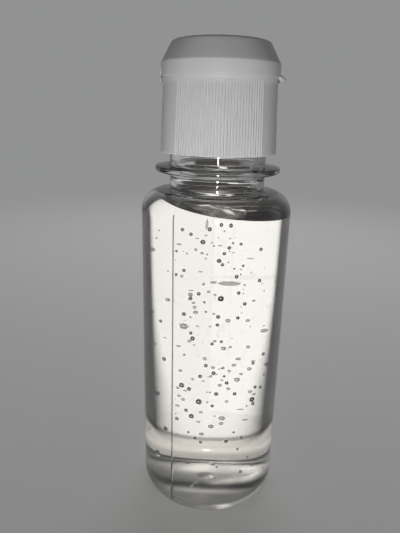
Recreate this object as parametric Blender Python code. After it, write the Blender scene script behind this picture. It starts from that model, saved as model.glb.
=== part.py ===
"""Clear plastic bottle of gel, closed by a screw-on flip-top cap.

The blow-moulded bottle is turned about +Z and stands on z = 0, with the origin at the middle of its
base. The closure screws onto the neck; its lid has a thumb tab on the +X side and a moulded living
hinge on the -X side. Lengths are in metres and every size is a real one.
"""

import math

import bmesh
import bpy
from mathutils import Matrix, Vector

MM = 0.001

# Bottle body
BODY_DIAMETER = 38.0 * MM
SHOULDER_HEIGHT = 86.5 * MM
SHOULDER_ROUNDING = 5.2 * MM
SHOULDER_SLOPE_RISE = 0.5 * MM
WALL = 0.8 * MM
HEEL_ROUNDING = 4.0 * MM
STANDING_RING_WIDTH = 2.4 * MM
PUSH_UP_HEIGHT = 3.0 * MM
BASE_THICKNESS = 1.0 * MM
GATE_DIAMETER = 3.0 * MM
GATE_DEPTH = 0.5 * MM

# Bottle neck
NECK_DIAMETER = 23.8 * MM
NECK_LENGTH = 4.4 * MM
NECK_ROOT_ROUNDING = 0.8 * MM
NECK_WALL = 1.4 * MM
RING_REACH = 3.65 * MM
RING_THICKNESS = 1.35 * MM
RING_RIM_ROUNDING = 0.6 * MM
RING_ROOT_ROUNDING = 0.4 * MM
RING_CROWN_RISE = 0.55 * MM
RING_CROWN_REACH = 0.5 * MM
FINISH_HEIGHT = 16.9 * MM
FINISH_STEP = 0.95 * MM
FINISH_STEP_SLOPE = 0.6 * MM
FINISH_WALL = 1.35 * MM
MOUTH_ROUNDING = 0.4 * MM

# Gel
GEL_BELOW_SHOULDER = 3.4 * MM
GEL_TILT = math.radians(6.5)

# Running and seating clearances
SEAT_GAP = 0.3 * MM
CAP_BORE_CLEARANCE = 0.4 * MM
CAP_TO_RING_GAP = 2.65 * MM

# Sealing liner
LINER_THICKNESS = 0.8 * MM
LINER_WIDTH = 2.8 * MM

# Screw cap
SKIRT_WALL = 1.3 * MM
SKIRT_DRAFT = 0.25 * MM
SKIRT_EDGE_ROUNDING = 0.3 * MM
DECK_THICKNESS = 1.2 * MM
DECK_RECESS = 0.1 * MM
COLLAR_HEIGHT = 1.2 * MM
COLLAR_WALL = 1.0 * MM
COLLAR_CLEARANCE = 0.4 * MM
COLLAR_ROUNDING = 0.3 * MM
SPOUT_BASE_DIAMETER = 6.8 * MM
SPOUT_TIP_DIAMETER = 5.4 * MM
SPOUT_HEIGHT = 2.4 * MM
SPOUT_ROOT_ROUNDING = 0.7 * MM
SPOUT_TIP_ROUNDING = 0.4 * MM
ORIFICE_DIAMETER = 3.2 * MM

# Grip ribs, in a front and a back panel of the skirt
RIBS_PER_PANEL = 32
PANEL_ANGLE = math.radians(90.0)
RIB_HEIGHT = 0.25 * MM
RIB_PAD = 0.05 * MM
RIB_ROOT = 0.4 * MM
RIB_END_MARGIN = 0.55 * MM
RIB_OUTLINE_SHARES = ((0.08, 0.0), (0.3, 1.0), (0.7, 1.0), (0.92, 0.0))

# Flip lid
LID_OVERHANG = 0.2 * MM
LID_HEIGHT = 7.8 * MM
LID_BAND_HEIGHT = 3.0 * MM
LID_DRAFT = 0.05 * MM
LID_BAND_ROUNDING = 0.8 * MM
LID_TOP_DIAMETER = 22.8 * MM
LID_TOP_ROUNDING = 1.3 * MM
LID_WALL = 1.5 * MM
LID_TOP_THICKNESS = 1.4 * MM
STOPPER_CLEARANCE = 0.35 * MM
STOPPER_ENGAGEMENT = 1.4 * MM
STOPPER_ROOT_DIAMETER = 4.4 * MM
STOPPER_ROOT_GAP = 0.8 * MM

# Thumb tab on the lid
TAB_REACH = 1.35 * MM
TAB_DROP = 0.9 * MM
TAB_SHOULDER = 0.9 * MM
TAB_TIP_THICKNESS = 0.5 * MM
TAB_HOLLOW = 0.25 * MM
TAB_ROOT = 0.9 * MM
TAB_SKIRT_CLEARANCE = 0.35 * MM
TAB_HALF_ANGLE = math.radians(19.0)
TAB_SEAM_LIFT = 0.02 * MM
TAB_END_SHARE = 0.3
TAB_CREST_SHARE = 0.33

# Living hinge: two film straps and the spring between them
HINGE_HEIGHT = 3.3 * MM
HINGE_BELOW_SEAM = 1.65 * MM
STRAP_THICKNESS = 0.35 * MM
STRAP_WIDTH = 1.5 * MM
STRAP_NOTCH = 0.1 * MM
STRAP_NOTCH_HEIGHT = 0.8 * MM
STRAP_GAP = 0.6 * MM
SPRING_WIDTH = 2.4 * MM
SPRING_BOW = 0.12 * MM
PAD_ROOT = 0.7 * MM
PAD_MARGIN = 0.25 * MM

# How finely round forms are faceted
FACETS = 48
FACET_TOLERANCE = 0.05 * MM
DOME_STEPS = 4
TAB_STEPS = 10
SPRING_STEPS = 6
PANEL_ROOT_STEPS = 8
MERGE = 0.001 * MM
SHARP_ANGLE = math.radians(35.0)
CUT_OVERRUN = 1.0 * MM

# Radii and heights that the pieces share
BODY_R = BODY_DIAMETER / 2
NECK_R = NECK_DIAMETER / 2
RING_R = NECK_R + RING_REACH
NECK_ROOT_Z = SHOULDER_HEIGHT + SHOULDER_SLOPE_RISE
RING_Z = NECK_ROOT_Z + NECK_LENGTH
RING_TOP_Z = RING_Z + RING_THICKNESS
CROWN_Z = RING_TOP_Z + RING_CROWN_RISE
RIM_Z = CROWN_Z + FINISH_HEIGHT
FINISH_R = NECK_R - FINISH_STEP
MOUTH_R = FINISH_R - FINISH_WALL
CAP_BOTTOM_Z = CROWN_Z + CAP_TO_RING_GAP
LINER_Z = RIM_Z + SEAT_GAP
DECK_Z = LINER_Z + LINER_THICKNESS + SEAT_GAP
DECK_TOP_Z = DECK_Z + DECK_THICKNESS
CAP_TOP_Z = DECK_TOP_Z + DECK_RECESS
CAP_BORE_R = NECK_R + CAP_BORE_CLEARANCE
SKIRT_TOP_R = CAP_BORE_R + SKIRT_WALL
SKIRT_BOTTOM_R = SKIRT_TOP_R + SKIRT_DRAFT
LID_Z = CAP_TOP_Z + SEAT_GAP
LID_TOP_Z = LID_Z + LID_HEIGHT
LID_R = SKIRT_TOP_R + RIB_PAD + RIB_HEIGHT + LID_OVERHANG
LID_INNER_R = LID_R - LID_WALL
COLLAR_R = LID_INNER_R - COLLAR_CLEARANCE
SPOUT_TOP_Z = DECK_TOP_Z + SPOUT_HEIGHT
SEAM_Z = (CAP_TOP_Z + LID_Z) / 2
HINGE_PLANE_X = -SKIRT_TOP_R
HINGE_PAD_HALF_WIDTH = SPRING_WIDTH / 2 + STRAP_GAP + STRAP_WIDTH + PAD_MARGIN
STRAP_INNER_X = HINGE_PLANE_X - SEAT_GAP
STRAP_OUTER_X = STRAP_INNER_X - STRAP_THICKNESS
PIVOT = Vector(((STRAP_INNER_X + STRAP_OUTER_X) / 2, 0.0, SEAM_Z))


def clear_scene():
    """Remove every object that the opened file holds."""
    for item in list(bpy.data.objects):
        bpy.data.objects.remove(item, do_unlink=True)


def plastic(name, colour, roughness, transmission=0.0):
    """Make a plastic material with one Principled shader."""
    material = bpy.data.materials.new(name)
    material.use_nodes = True
    shader = material.node_tree.nodes["Principled BSDF"]
    shader.inputs["Base Color"].default_value = (*colour, 1.0)
    shader.inputs["Roughness"].default_value = roughness
    shader.inputs["Metallic"].default_value = 0.0
    shader.inputs["Transmission Weight"].default_value = transmission
    material.diffuse_color = (*colour, 1.0)
    return material


def leg_length(before, corner, after, rounding):
    """Length that a rounding takes from each of the two edges that meet at its corner."""
    opening = (Vector(before) - Vector(corner)).angle(Vector(after) - Vector(corner))
    return rounding / math.tan(opening / 2)


def fillet(before, corner, after, leg):
    """Return the points of the arc that rounds a corner and takes a leg from each of its edges."""
    corner = Vector(corner)
    towards_before = (Vector(before) - corner).normalized()
    towards_after = (Vector(after) - corner).normalized()
    if leg < MERGE:
        return [tuple(corner)]
    opening = towards_before.angle(towards_after)
    radius = leg * math.tan(opening / 2)
    bisector = (towards_before + towards_after).normalized()
    centre = corner + bisector * (radius / math.sin(opening / 2))
    start = corner + towards_before * leg - centre
    end = corner + towards_after * leg - centre
    sweep = start.angle_signed(end)
    facet_angle = 2 * math.acos(max(1 - FACET_TOLERANCE / radius, 0.0))
    steps = max(2, math.ceil(abs(sweep) / facet_angle))
    spokes = [Matrix.Rotation(-sweep * step / steps, 2) @ start for step in range(steps + 1)]
    return [tuple(centre + spoke) for spoke in spokes]


def rounded(corners, closed=False):
    """Turn corners (radius from the axis, height, rounding) into an outline with its arcs.

    Where the roundings at the two ends of an edge want more than the edge has, both are made less.
    """
    count = len(corners)
    places = [Vector(corner[:2]) for corner in corners]
    last = count if closed else count - 1
    legs = [0.0] * count
    for index in range(0 if closed else 1, last):
        before, after = places[index - 1], places[(index + 1) % count]
        legs[index] = leg_length(before, places[index], after, corners[index][2])
    fits = [1.0] * count
    for index in range(last):
        following = (index + 1) % count
        wanted = legs[index] + legs[following]
        length = (places[following] - places[index]).length
        if wanted > length:
            fits[index] = min(fits[index], length / wanted)
            fits[following] = min(fits[following], length / wanted)
    outline = []
    for index, place in enumerate(places):
        before, after = places[index - 1], places[(index + 1) % count]
        outline.extend(fillet(before, place, after, legs[index] * fits[index]))
    return outline


def mesh_object(name, bm, material):
    """Finish a bmesh as a named, smoothly shaded object."""
    bmesh.ops.remove_doubles(bm, verts=bm.verts, dist=MERGE)
    bmesh.ops.recalc_face_normals(bm, faces=bm.faces)
    mesh = bpy.data.meshes.new(name)
    bm.to_mesh(mesh)
    bm.free()
    mesh.shade_smooth()
    mesh.set_sharp_from_angle(angle=SHARP_ANGLE)
    if material is not None:
        mesh.materials.append(material)
    item = bpy.data.objects.new(name, mesh)
    bpy.context.scene.collection.objects.link(item)
    return item


def turned_bmesh(outline, closed):
    """Spin an outline of (radius, height) points once round the Z axis."""
    bm = bmesh.new()
    verts = [bm.verts.new((r, 0.0, z)) for r, z in outline]
    pairs = list(zip(verts, verts[1:]))
    if closed:
        pairs.append((verts[-1], verts[0]))
    edges = [bm.edges.new(pair) for pair in pairs]
    turn = {"cent": (0, 0, 0), "axis": (0, 0, 1), "angle": math.tau, "steps": FACETS}
    bmesh.ops.spin(bm, geom=verts + edges, use_merge=True, **turn)
    bmesh.ops.remove_doubles(bm, verts=bm.verts, dist=MERGE)
    bmesh.ops.recalc_face_normals(bm, faces=bm.faces)
    return bm


def lofted_bmesh(sections):
    """Join equal closed sections of points into one solid with flat ends."""
    bm = bmesh.new()
    rings = [[bm.verts.new(point) for point in section] for section in sections]
    count = len(rings[0])
    for lower, upper in zip(rings, rings[1:]):
        for index in range(count):
            following = (index + 1) % count
            bm.faces.new((lower[index], lower[following], upper[following], upper[index]))
    bm.faces.new(reversed(rings[0]))
    bm.faces.new(rings[-1])
    return bm


def box_bmesh(low, high):
    """Make a box between two corners."""
    bm = bmesh.new()
    bmesh.ops.create_cube(bm, size=1.0)
    size = Vector(high) - Vector(low)
    middle = (Vector(high) + Vector(low)) / 2
    bmesh.ops.scale(bm, vec=size, verts=bm.verts)
    bmesh.ops.translate(bm, vec=middle, verts=bm.verts)
    return bm


def combine(item, tool, operation):
    """Join a guide solid to an object, or cut it out, and hide the guide."""
    tool.hide_render = True
    tool.display_type = "WIRE"
    modifier = item.modifiers.new(f"{operation.lower()}_{tool.name}", "BOOLEAN")
    modifier.operation = operation
    modifier.solver = "EXACT"
    modifier.object = tool


def dome_points(edge_r, edge_z, height, from_r):
    """Return points on a shallow spherical dome, from its edge in to a smaller radius."""
    sphere_r = (edge_r**2 + height**2) / (2 * height)
    points = []
    for step in range(DOME_STEPS + 1):
        r = edge_r + (from_r - edge_r) * step / DOME_STEPS
        rise = math.sqrt(sphere_r**2 - r**2) - (sphere_r - height)
        points.append((r, edge_z + rise))
    return points


def standing_edge_r():
    """Radius at which the standing ring meets the pushed-up middle of the base."""
    return BODY_R - HEEL_ROUNDING - STANDING_RING_WIDTH


def outer_base_outline():
    """Underside of the bottle, from the gate mark at the axis out to the standing ring."""
    gate_r = GATE_DIAMETER / 2
    dome = dome_points(standing_edge_r(), 0.0, PUSH_UP_HEIGHT, gate_r)
    gate_top = dome[-1][1]
    return [(0.0, gate_top - GATE_DEPTH), (gate_r, gate_top - GATE_DEPTH)] + dome[::-1]


def inner_base_outline(inset):
    """Floor inside the bottle, from the wall in to the axis, moved inwards by an inset."""
    lift = BASE_THICKNESS + inset
    dome = dome_points(standing_edge_r(), lift, PUSH_UP_HEIGHT, 0.0)
    wall_r = BODY_R - WALL - inset
    heel = HEEL_ROUNDING - WALL - inset
    corners = [(wall_r, SHOULDER_HEIGHT / 2, 0.0), (wall_r, lift, heel), (*dome[0], 0.0)]
    return rounded(corners)[:-1] + dome


def bottle_outline():
    """Whole section of the bottle, up its outside and down its inside."""
    outside = [
        (BODY_R, 0.0, HEEL_ROUNDING),
        (BODY_R, SHOULDER_HEIGHT, SHOULDER_ROUNDING),
        (NECK_R, NECK_ROOT_Z, NECK_ROOT_ROUNDING),
        (NECK_R, RING_Z, RING_ROOT_ROUNDING),
        (RING_R, RING_Z, RING_RIM_ROUNDING),
        (RING_R, RING_TOP_Z, RING_RIM_ROUNDING),
        (NECK_R + RING_CROWN_REACH, CROWN_Z, RING_ROOT_ROUNDING),
        (NECK_R, CROWN_Z + RING_CROWN_REACH, 0.0),
        (NECK_R, CAP_BOTTOM_Z + FINISH_STEP, 0.0),
        (FINISH_R, CAP_BOTTOM_Z + FINISH_STEP + FINISH_STEP_SLOPE, 0.0),
        (FINISH_R, RIM_Z, MOUTH_ROUNDING),
        (MOUTH_R, RIM_Z, 0.0),
        (MOUTH_R, RING_Z, 0.0),
        (NECK_R - NECK_WALL, RING_Z - NECK_WALL, 0.0),
        (NECK_R - NECK_WALL, NECK_ROOT_Z - WALL, NECK_ROOT_ROUNDING),
        (BODY_R - WALL, SHOULDER_HEIGHT - WALL, SHOULDER_ROUNDING - WALL),
        (BODY_R - WALL, SHOULDER_HEIGHT / 2, 0.0),
    ]
    start = outer_base_outline()
    corners = [(*start[-1], 0.0)] + outside
    body = rounded(corners)
    return start[:-1] + body[:-1] + inner_base_outline(0.0)


def make_bottle():
    """Blow-moulded body, support ring and open neck in one shell."""
    finish = plastic("clear_bottle_plastic", (0.93, 0.94, 0.93), 0.05, 0.95)
    return mesh_object("bottle", turned_bmesh(bottle_outline(), closed=False), finish)


def make_gel():
    """Gel that fills the bottle to its shoulder, with a surface that leans to one side."""
    inset = WALL + SEAT_GAP
    wall_r = BODY_R - inset
    top = SHOULDER_HEIGHT - inset
    crown = [
        (0.0, top, 0.0),
        (wall_r, top, SHOULDER_ROUNDING - inset),
        (wall_r, SHOULDER_HEIGHT / 2, 0.0),
    ]
    outline = rounded(crown)[:-1] + inner_base_outline(SEAT_GAP)
    bm = turned_bmesh(outline, closed=False)
    normal = Vector((math.sin(GEL_TILT), 0.0, math.cos(GEL_TILT)))
    geometry = bm.verts[:] + bm.edges[:] + bm.faces[:]
    level = Vector((0.0, 0.0, SHOULDER_HEIGHT - GEL_BELOW_SHOULDER))
    bmesh.ops.bisect_plane(
        bm, geom=geometry, dist=MERGE, plane_co=level, plane_no=normal, clear_outer=True
    )
    open_edges = [edge for edge in bm.edges if edge.is_boundary]
    bmesh.ops.holes_fill(bm, edges=open_edges, sides=0)
    return mesh_object("gel_fill", bm, plastic("clear_gel", (0.95, 0.94, 0.92), 0.02, 1.0))


def make_liner():
    """Soft washer that the cap presses onto the neck's rim."""
    outer = CAP_BORE_R - CAP_BORE_CLEARANCE
    inner = outer - LINER_WIDTH
    top = LINER_Z + LINER_THICKNESS
    outline = [(inner, LINER_Z), (outer, LINER_Z), (outer, top), (inner, top)]
    foam = plastic("white_foam", (0.85, 0.85, 0.83), 0.7)
    return mesh_object("sealing_liner", turned_bmesh(outline, closed=True), foam)


def skirt_radius(z):
    """Radius of the plain skirt at a height, which its draft makes wider towards the bottom."""
    share = (CAP_TOP_Z - z) / (CAP_TOP_Z - CAP_BOTTOM_Z)
    return SKIRT_TOP_R + (SKIRT_BOTTOM_R - SKIRT_TOP_R) * share


def cap_outline():
    """Section of the screw cap: skirt, collar, recessed deck and raised spout."""
    orifice_r = ORIFICE_DIAMETER / 2
    corners = [
        (CAP_BORE_R, CAP_BOTTOM_Z, 0.0),
        (SKIRT_BOTTOM_R, CAP_BOTTOM_Z, SKIRT_EDGE_ROUNDING),
        (SKIRT_TOP_R, CAP_TOP_Z, SKIRT_EDGE_ROUNDING),
        (COLLAR_R, CAP_TOP_Z, 0.0),
        (COLLAR_R, DECK_TOP_Z + COLLAR_HEIGHT, COLLAR_ROUNDING),
        (COLLAR_R - COLLAR_WALL, DECK_TOP_Z + COLLAR_HEIGHT, COLLAR_ROUNDING),
        (COLLAR_R - COLLAR_WALL, DECK_TOP_Z, COLLAR_ROUNDING),
        (SPOUT_BASE_DIAMETER / 2, DECK_TOP_Z, SPOUT_ROOT_ROUNDING),
        (SPOUT_TIP_DIAMETER / 2, SPOUT_TOP_Z, SPOUT_TIP_ROUNDING),
        (orifice_r, SPOUT_TOP_Z, 0.0),
        (orifice_r, DECK_Z, 0.0),
        (CAP_BORE_R, DECK_Z, 0.0),
    ]
    return rounded(corners, closed=True)


def rib_section(middle, z):
    """Closed section of one grip panel at a height: the ribs outside, a plain arc in the wall."""
    base_r = skirt_radius(z)
    pitch = PANEL_ANGLE / RIBS_PER_PANEL
    first = middle - PANEL_ANGLE / 2
    points = []
    for rib in range(RIBS_PER_PANEL):
        for turn_share, height_share in RIB_OUTLINE_SHARES:
            angle = first + pitch * (rib + turn_share)
            r = base_r + RIB_PAD + RIB_HEIGHT * height_share
            points.append((r * math.cos(angle), r * math.sin(angle), z))
    inner_r = base_r - RIB_ROOT
    for step in range(PANEL_ROOT_STEPS + 1):
        angle = first + PANEL_ANGLE * (1 - step / PANEL_ROOT_STEPS)
        points.append((inner_r * math.cos(angle), inner_r * math.sin(angle), z))
    return points


def make_rib_panel(name, middle):
    """Solid of one panel of grip ribs, rooted in the skirt's wall."""
    heights = (CAP_BOTTOM_Z + RIB_END_MARGIN, CAP_TOP_Z - RIB_END_MARGIN)
    return mesh_object(name, lofted_bmesh([rib_section(middle, z) for z in heights]), None)


def make_cap():
    """Screw cap with its two grip panels and the pad that carries the living hinge."""
    shell = turned_bmesh(cap_outline(), closed=True)
    cap = mesh_object("cap_base", shell, plastic("white_cap", (0.80, 0.80, 0.80), 0.35))
    pad_low = (HINGE_PLANE_X, -HINGE_PAD_HALF_WIDTH, SEAM_Z - HINGE_BELOW_SEAM)
    pad_high = (HINGE_PLANE_X + PAD_ROOT, HINGE_PAD_HALF_WIDTH, CAP_TOP_Z)
    guides = [
        make_rib_panel("front_ribs_guide", -math.pi / 2),
        make_rib_panel("back_ribs_guide", math.pi / 2),
        mesh_object("hinge_pad_guide", box_bmesh(pad_low, pad_high), None),
    ]
    for guide in guides:
        combine(cap, guide, "UNION")
    return cap, guides


def lid_outline():
    """Section of the lid, from the stopper's tip at the axis out, and back over the top."""
    orifice_r = ORIFICE_DIAMETER / 2
    stopper_r = orifice_r - STOPPER_CLEARANCE
    root_r = STOPPER_ROOT_DIAMETER / 2
    root_z = SPOUT_TOP_Z + STOPPER_ROOT_GAP
    band_z = LID_Z + LID_BAND_HEIGHT
    ceiling_z = LID_TOP_Z - LID_TOP_THICKNESS
    top_r = LID_TOP_DIAMETER / 2
    stopper_z = SPOUT_TOP_Z - STOPPER_ENGAGEMENT
    ceiling_r = top_r - (LID_WALL + LID_TOP_THICKNESS) / 2
    corners = [
        (0.0, stopper_z, 0.0),
        (stopper_r, stopper_z, STOPPER_CLEARANCE),
        (stopper_r, root_z, 0.0),
        (root_r, root_z, 0.0),
        (root_r, ceiling_z, 0.0),
        (ceiling_r, ceiling_z, LID_TOP_ROUNDING / 2),
        (LID_INNER_R, band_z, 0.0),
        (LID_INNER_R, LID_Z, 0.0),
        (LID_R, LID_Z, 0.0),
        (LID_R - LID_DRAFT, band_z, LID_BAND_ROUNDING),
        (top_r, LID_TOP_Z, LID_TOP_ROUNDING),
        (0.0, LID_TOP_Z, 0.0),
    ]
    return rounded(corners)


def tab_section(angle):
    """Section of the thumb tab at an angle from +X; it shrinks towards its ends."""
    fullness = math.sqrt(1 - (1 - TAB_END_SHARE**2) * (angle / TAB_HALF_ANGLE) ** 2)
    reach = TAB_REACH * fullness
    root_r = LID_R - TAB_ROOT
    lip_r = SKIRT_TOP_R + TAB_SKIRT_CLEARANCE
    lip_z = LID_Z - TAB_DROP * fullness
    tip_r = LID_R + reach
    tip_low_z = lip_z + TAB_HOLLOW
    tip_high_z = tip_low_z + TAB_TIP_THICKNESS * fullness
    middle_r = (lip_r + tip_r) / 2
    outline = (
        (root_r, LID_Z + TAB_SEAM_LIFT),
        (lip_r, LID_Z + TAB_SEAM_LIFT),
        (lip_r, lip_z),
        (middle_r, lip_z + TAB_HOLLOW),
        (tip_r - TAB_HOLLOW, lip_z + TAB_HOLLOW / 2),
        (tip_r, tip_low_z),
        (tip_r, tip_high_z),
        (tip_r - reach * TAB_CREST_SHARE, LID_Z + TAB_HOLLOW * fullness),
        (LID_R - LID_DRAFT, LID_Z + TAB_SHOULDER * fullness),
        (root_r, LID_Z + TAB_SHOULDER * fullness),
    )
    return [(r * math.cos(angle), r * math.sin(angle), z) for r, z in outline]


def make_tab():
    """Solid of the thumb tab, rooted in the lid's wall."""
    angles = [TAB_HALF_ANGLE * (2 * step / TAB_STEPS - 1) for step in range(TAB_STEPS + 1)]
    return mesh_object("tab_guide", lofted_bmesh([tab_section(angle) for angle in angles]), None)


def make_lid():
    """Flip lid with its stopper, thumb tab and the pocket that takes the living hinge."""
    shell = turned_bmesh(lid_outline(), closed=False)
    lid = mesh_object("flip_lid", shell, plastic("white_lid", (0.80, 0.80, 0.80), 0.35))
    tab = make_tab()
    combine(lid, tab, "UNION")
    pocket_top = SEAM_Z - HINGE_BELOW_SEAM + HINGE_HEIGHT + SEAT_GAP
    low = (HINGE_PLANE_X - CUT_OVERRUN, -HINGE_PAD_HALF_WIDTH, LID_Z - CUT_OVERRUN)
    high = (HINGE_PLANE_X, HINGE_PAD_HALF_WIDTH, pocket_top)
    pocket = mesh_object("hinge_pocket_guide", box_bmesh(low, high), None)
    combine(lid, pocket, "DIFFERENCE")
    return lid, [tab, pocket]


def extruded_y(name, outline, low_y, high_y, material):
    """Make a bar of constant (x, z) section between two places along Y."""
    sections = [[(x, y, z) for x, z in outline] for y in (low_y, high_y)]
    return mesh_object(name, lofted_bmesh(sections), material)


def strap_outline():
    """Section of a film strap, thinned by a notch on each side where it bends."""
    low = SEAM_Z - HINGE_BELOW_SEAM
    high = low + HINGE_HEIGHT
    half_notch = STRAP_NOTCH_HEIGHT / 2
    return [
        (STRAP_INNER_X, low),
        (STRAP_INNER_X, SEAM_Z - half_notch),
        (STRAP_INNER_X - STRAP_NOTCH, SEAM_Z),
        (STRAP_INNER_X, SEAM_Z + half_notch),
        (STRAP_INNER_X, high),
        (STRAP_OUTER_X, high),
        (STRAP_OUTER_X, SEAM_Z + half_notch),
        (STRAP_OUTER_X + STRAP_NOTCH, SEAM_Z),
        (STRAP_OUTER_X, SEAM_Z - half_notch),
        (STRAP_OUTER_X, low),
    ]


def spring_outline():
    """Section of the spring, a thin leaf that bows outwards between its two ends."""
    low = SEAM_Z - HINGE_BELOW_SEAM
    steps = [step / SPRING_STEPS for step in range(SPRING_STEPS + 1)]
    bows = [(SPRING_BOW * math.sin(math.pi * share), low + HINGE_HEIGHT * share) for share in steps]
    inner = [(STRAP_INNER_X - bow, z) for bow, z in bows]
    outer = [(STRAP_OUTER_X - bow, z) for bow, z in bows]
    return inner + outer[::-1]


def make_hinge():
    """The two film straps and the spring leaf of the living hinge."""
    film = plastic("white_film", (0.80, 0.80, 0.80), 0.4)
    near = SPRING_WIDTH / 2 + STRAP_GAP
    far = near + STRAP_WIDTH
    return [
        extruded_y("hinge_strap_front", strap_outline(), -far, -near, film),
        extruded_y("hinge_strap_back", strap_outline(), near, far, film),
        extruded_y("hinge_spring", spring_outline(), -SPRING_WIDTH / 2, SPRING_WIDTH / 2, film),
    ]


def make_axis(name, place):
    """Make an empty that marks a joint's axis."""
    axis = bpy.data.objects.new(name, None)
    axis.empty_display_size = BODY_R
    axis.location = place
    bpy.context.scene.collection.objects.link(axis)
    return axis


def hang(item, parent, place):
    """Parent an object and put its origin at its parent's place, with its mesh left where it was."""
    item.data.transform(Matrix.Translation(-place))
    item.parent = parent
    item.location = (0, 0, 0)


def main():
    """Build the bottle and its closure."""
    clear_scene()
    make_bottle()
    make_gel()
    liner = make_liner()
    cap, cap_guides = make_cap()
    lid, lid_guides = make_lid()
    hinge = make_hinge()

    cap_place = Vector((0.0, 0.0, CAP_BOTTOM_Z))
    cap_axis = make_axis("cap_axis", cap_place)
    lid_axis = make_axis("lid_axis", PIVOT - cap_place)
    lid_axis.parent = cap_axis
    for item in [liner, cap, *cap_guides, *hinge]:
        hang(item, cap_axis, cap_place)
    for item in [lid, *lid_guides]:
        hang(item, lid_axis, PIVOT)
    bpy.context.view_layer.update()


main()
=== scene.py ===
"""Looks of a clear plastic bottle of gel that a white flip-top cap closes.

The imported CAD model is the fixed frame, and the pieces here stand for its nodes. Lengths are in
metres, +Z is up, -Y is the side that the camera faces and -X is the side of the living hinge.
"""
import logging
import random
from dataclasses import dataclass, replace
from enum import Enum
from math import acos, atan2, ceil, cos, dist, exp, hypot, pi, radians, sin, sqrt, tan, tau
from typing import Callable, NamedTuple, Sequence

import bmesh
import bpy
from bmesh.types import BMesh
from bpy.types import ID, Material, Mesh, Node, NodeSocket, NodeTree, Object
from mathutils import Matrix, Vector


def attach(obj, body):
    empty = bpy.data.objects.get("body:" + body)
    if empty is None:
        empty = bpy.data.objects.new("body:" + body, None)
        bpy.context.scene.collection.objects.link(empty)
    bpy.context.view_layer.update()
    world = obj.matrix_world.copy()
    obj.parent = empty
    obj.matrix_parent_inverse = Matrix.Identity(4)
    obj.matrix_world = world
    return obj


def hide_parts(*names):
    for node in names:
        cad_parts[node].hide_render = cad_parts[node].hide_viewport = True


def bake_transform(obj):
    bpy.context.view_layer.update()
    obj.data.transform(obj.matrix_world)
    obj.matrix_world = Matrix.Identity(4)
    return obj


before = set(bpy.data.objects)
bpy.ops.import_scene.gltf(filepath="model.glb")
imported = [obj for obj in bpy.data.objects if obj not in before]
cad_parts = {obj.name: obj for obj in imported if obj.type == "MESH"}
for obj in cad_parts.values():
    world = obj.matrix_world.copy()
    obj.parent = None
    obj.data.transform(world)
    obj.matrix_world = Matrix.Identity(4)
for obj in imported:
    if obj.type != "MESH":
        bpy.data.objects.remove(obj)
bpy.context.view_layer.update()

LOG = logging.getLogger("bottle")

MM = 0.001
FACETS = 160
ARC_TOLERANCE = 0.004 * MM
LEAST_ARC_STEPS = 3
MERGE = 0.0004 * MM
ANGLE_DIGITS = 7
SHARP_ANGLE = radians(38.0)
FADE = 5.0 * MM
MID_TONES = (0.3, 0.7)
GEL_IOR = 1.36
PLASTIC_IOR = 1.57

Point2 = tuple[float, float]
Point3 = tuple[float, float, float]
Colour = tuple[float, float, float]
Input = NodeSocket | float | Colour


class Corner(NamedTuple):
    """Corner of a turned section: its radius, its height and how far it is rounded."""

    r: float
    z: float
    rounding: float = 0.0


class Skin(Enum):
    """What a stretch of a turned section carries on its surface."""

    PLAIN = "plain"
    MOULDED = "moulded"
    THREADED = "threaded"


class Station(NamedTuple):
    """Point of a turned section and the skin that it lies on."""

    r: float
    z: float
    skin: Skin = Skin.PLAIN


def smooth_step(value: float, low: float, high: float) -> float:
    """Rise smoothly from 0 at low to 1 at high.

    Args:
        value: Number to place between the two ends.
        low: Where the rise starts.
        high: Where the rise ends.

    Returns:
        Share of the rise, from 0 to 1.
    """
    share = min(max((value - low) / (high - low), 0.0), 1.0)
    return share * share * (3.0 - 2.0 * share)


def polar(r: float, angle: float, z: float) -> Point3:
    """Return the place at a radius, an angle from +X and a height."""
    return r * cos(angle), r * sin(angle), z


def turned_away(angle: float, other: float) -> float:
    """Return the signed turn from one angle to another, between minus and plus half a turn."""
    return (other - angle + pi) % tau - pi


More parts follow.
